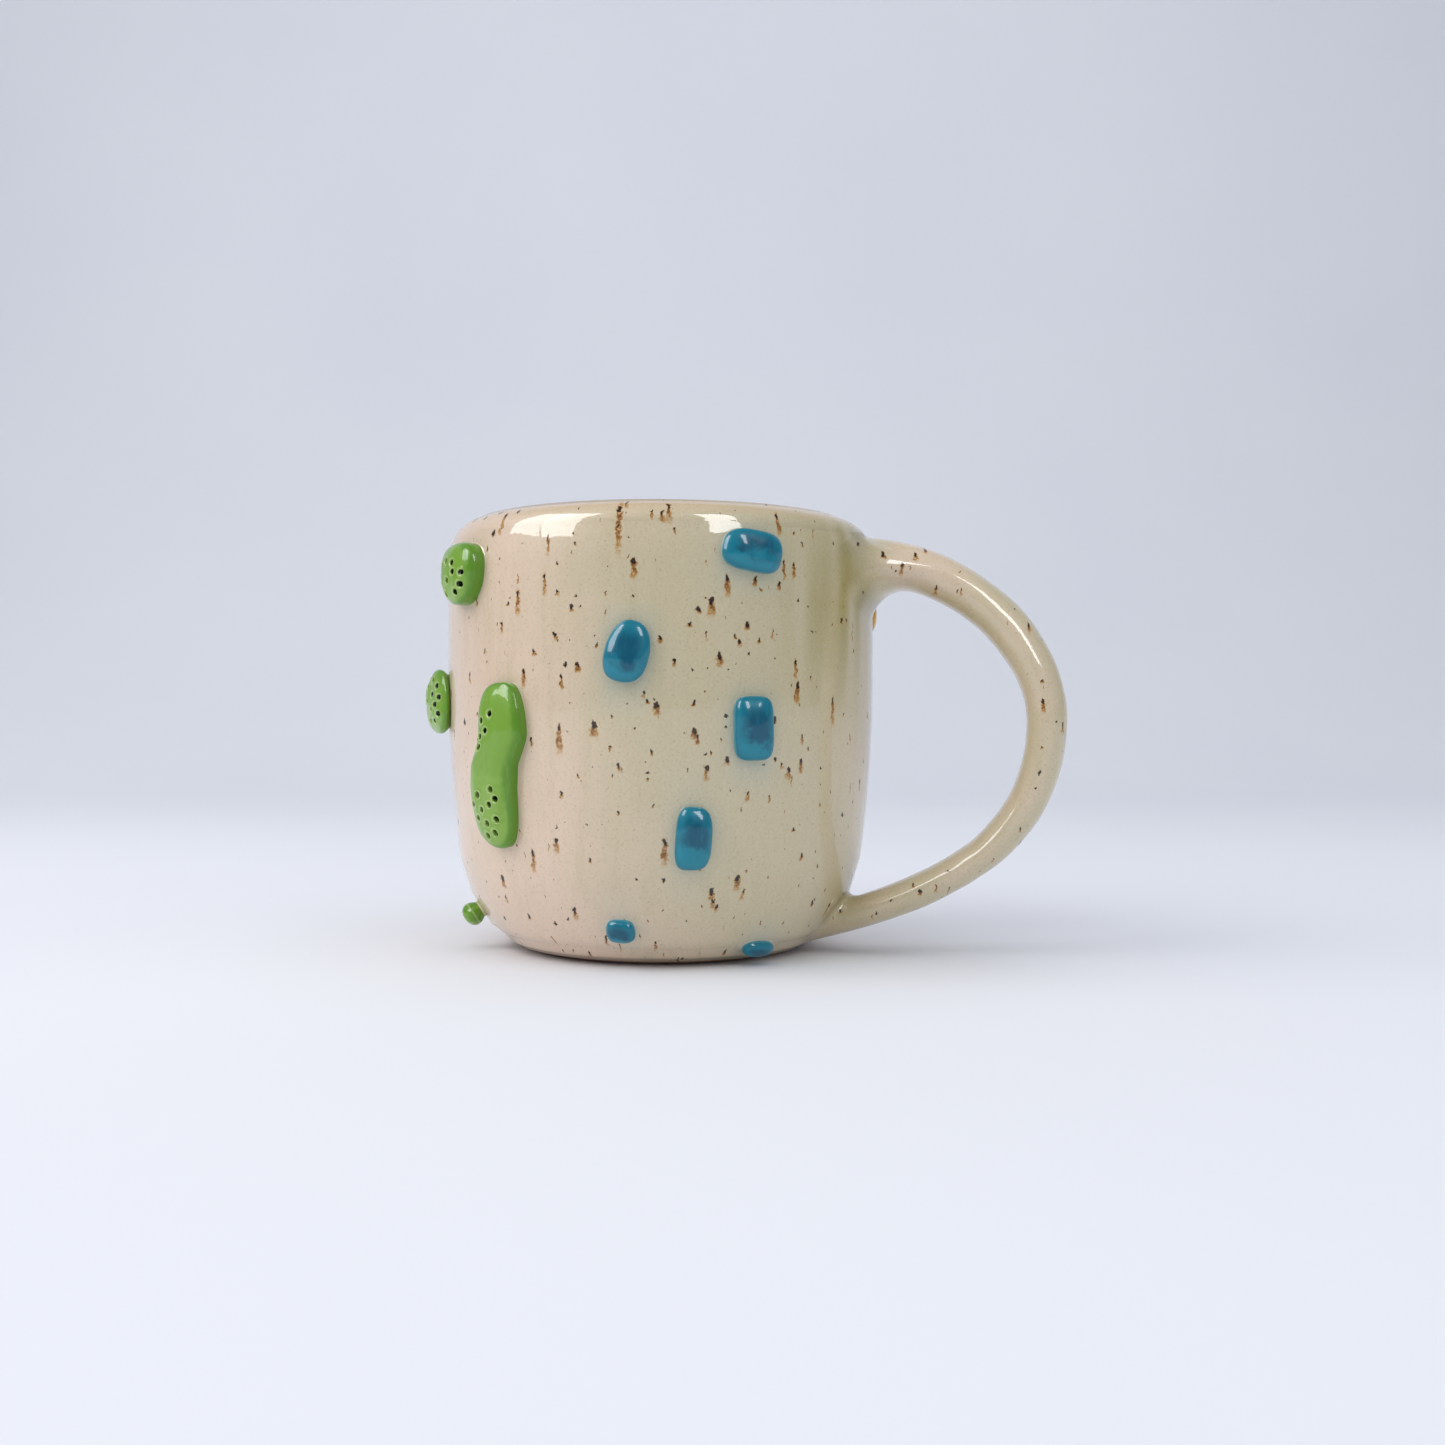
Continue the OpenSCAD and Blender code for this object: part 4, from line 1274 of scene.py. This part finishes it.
# Lamps, seen from the mug: degrees to the right of the camera and up, metres away, size,
# power, tint, and whether they give only diffuse light or only glossy reflections
LAMPS = (
    ("window_far", -77, 37, 0.8, (0.27, 0.52), 2.9, (1.0, 1.0, 1.0), "glossy"),
    ("window_near", -56, 37, 0.8, (0.27, 0.52), 3.7, (1.0, 1.0, 1.0), "glossy"),
    ("window_right", 33, 36, 0.8, (0.22, 0.44), 3.3, (1.0, 1.0, 1.0), "glossy"),
    ("daylight_left", -70, 36, 0.9, (0.8, 0.7), 3.4, (1.0, 0.97, 0.93), "diffuse"),
    ("daylight_right", 62, 26, 0.9, (0.8, 0.7), 0.9, (0.95, 0.98, 1.0), "diffuse"),
    ("ceiling", 0, 80, 1.2, (1.6, 1.6), 7.0, (0.97, 0.98, 1.0), "diffuse"),
)
LAMPS_AIM_H = 0.045
SKY = (0.90, 0.94, 1.0, 1)
SKY_SEEN = 0.47          # the sky's strength as light
SKY_MIRRORED = 0.12      # and as what a gloss mirrors: over the table the room is dim


def area_light(name, side, height, away, size, power, tint, only):
    data = bpy.data.lights.new(name, "AREA")
    data.shape = "RECTANGLE"
    data.size, data.size_y = size
    data.energy = power
    data.color = tint
    obj = bpy.data.objects.new(name, data)
    bpy.context.scene.collection.objects.link(obj)
    az, up = CAMERA_AZ + math.radians(side), math.radians(height)
    way = np.array([math.cos(az) * math.cos(up), math.sin(az) * math.cos(up), math.sin(up)])
    obj.location = way * away + np.array([0, 0, LAMPS_AIM_H])
    obj.rotation_euler = (math.radians(90) - up, 0, az + math.radians(90))
    obj.visible_glossy = only != "diffuse"
    obj.visible_diffuse = only != "glossy"
    return obj


def make_light():
    world = bpy.data.worlds.new("soft_sky")
    bpy.context.scene.world = world
    world.use_nodes = True
    back = world.node_tree.nodes["Background"]
    back.inputs["Color"].default_value = SKY
    path = world.node_tree.nodes.new("ShaderNodeLightPath")
    dim = world.node_tree.nodes.new("ShaderNodeMapRange")
    dim.inputs["To Min"].default_value = SKY_SEEN
    dim.inputs["To Max"].default_value = SKY_MIRRORED
    world.node_tree.links.new(path.outputs["Is Glossy Ray"], dim.inputs["Value"])
    world.node_tree.links.new(dim.outputs[0], back.inputs["Strength"])
    for lamp in LAMPS:
        area_light(*lamp)


# The paper sweep, in metres: its flat part from before to behind the mug, its bend and its wall
PAPER_FRONT = -1.2
PAPER_BACK = 0.55
BEND_R = 0.5
PAPER_UP = 1.2
PAPER_HALF = 2.0
FLAT_SHARE = 0.55        # shares of its rows at which the flat part and the bend end
BEND_SHARE = 0.8


def make_ground():
    """A pale table that curves up into a pale wall behind the mug."""
    rows, cols = 60, 24
    t = np.linspace(0, 1, rows)
    flat = t < FLAT_SHARE
    bend = np.clip((t - FLAT_SHARE) / (BEND_SHARE - FLAT_SHARE), 0, 1) * math.pi / 2
    away = np.where(flat, PAPER_FRONT + t / FLAT_SHARE * (PAPER_BACK - PAPER_FRONT),
                    PAPER_BACK + BEND_R * np.sin(bend))
    wall = np.clip((t - BEND_SHARE) / (1 - BEND_SHARE), 0, 1) * PAPER_UP
    up = np.where(flat, 0, BEND_R * (1 - np.cos(bend))) + wall
    side = np.linspace(-PAPER_HALF, PAPER_HALF, cols)
    points = [from_camera(float(a), float(b), float(h)) for b, h in zip(away, up) for a in side]
    points = np.array(points) / MM
    obj = make_object("paper_sweep", points, strip_faces(rows, cols, wrap=False).tolist())
    n = Nodes("paper")
    place = n.place()
    soft = n.noise(place, 0.004, 2)
    base = n.mix(soft, (230, 232, 240), (238, 240, 246))
    fibre = n.noise(place, 1.2, 3)
    obj.data.materials.append(n.glossy(base, 0.9, fibre, coat=0.0, normal_strength=0.2, bump_mm=0.03))


def main():
    scene = bpy.context.scene
    scene.view_settings.view_transform = "Standard"
    make_camera()
    build_mug()
    make_ground()
    make_light()


main()
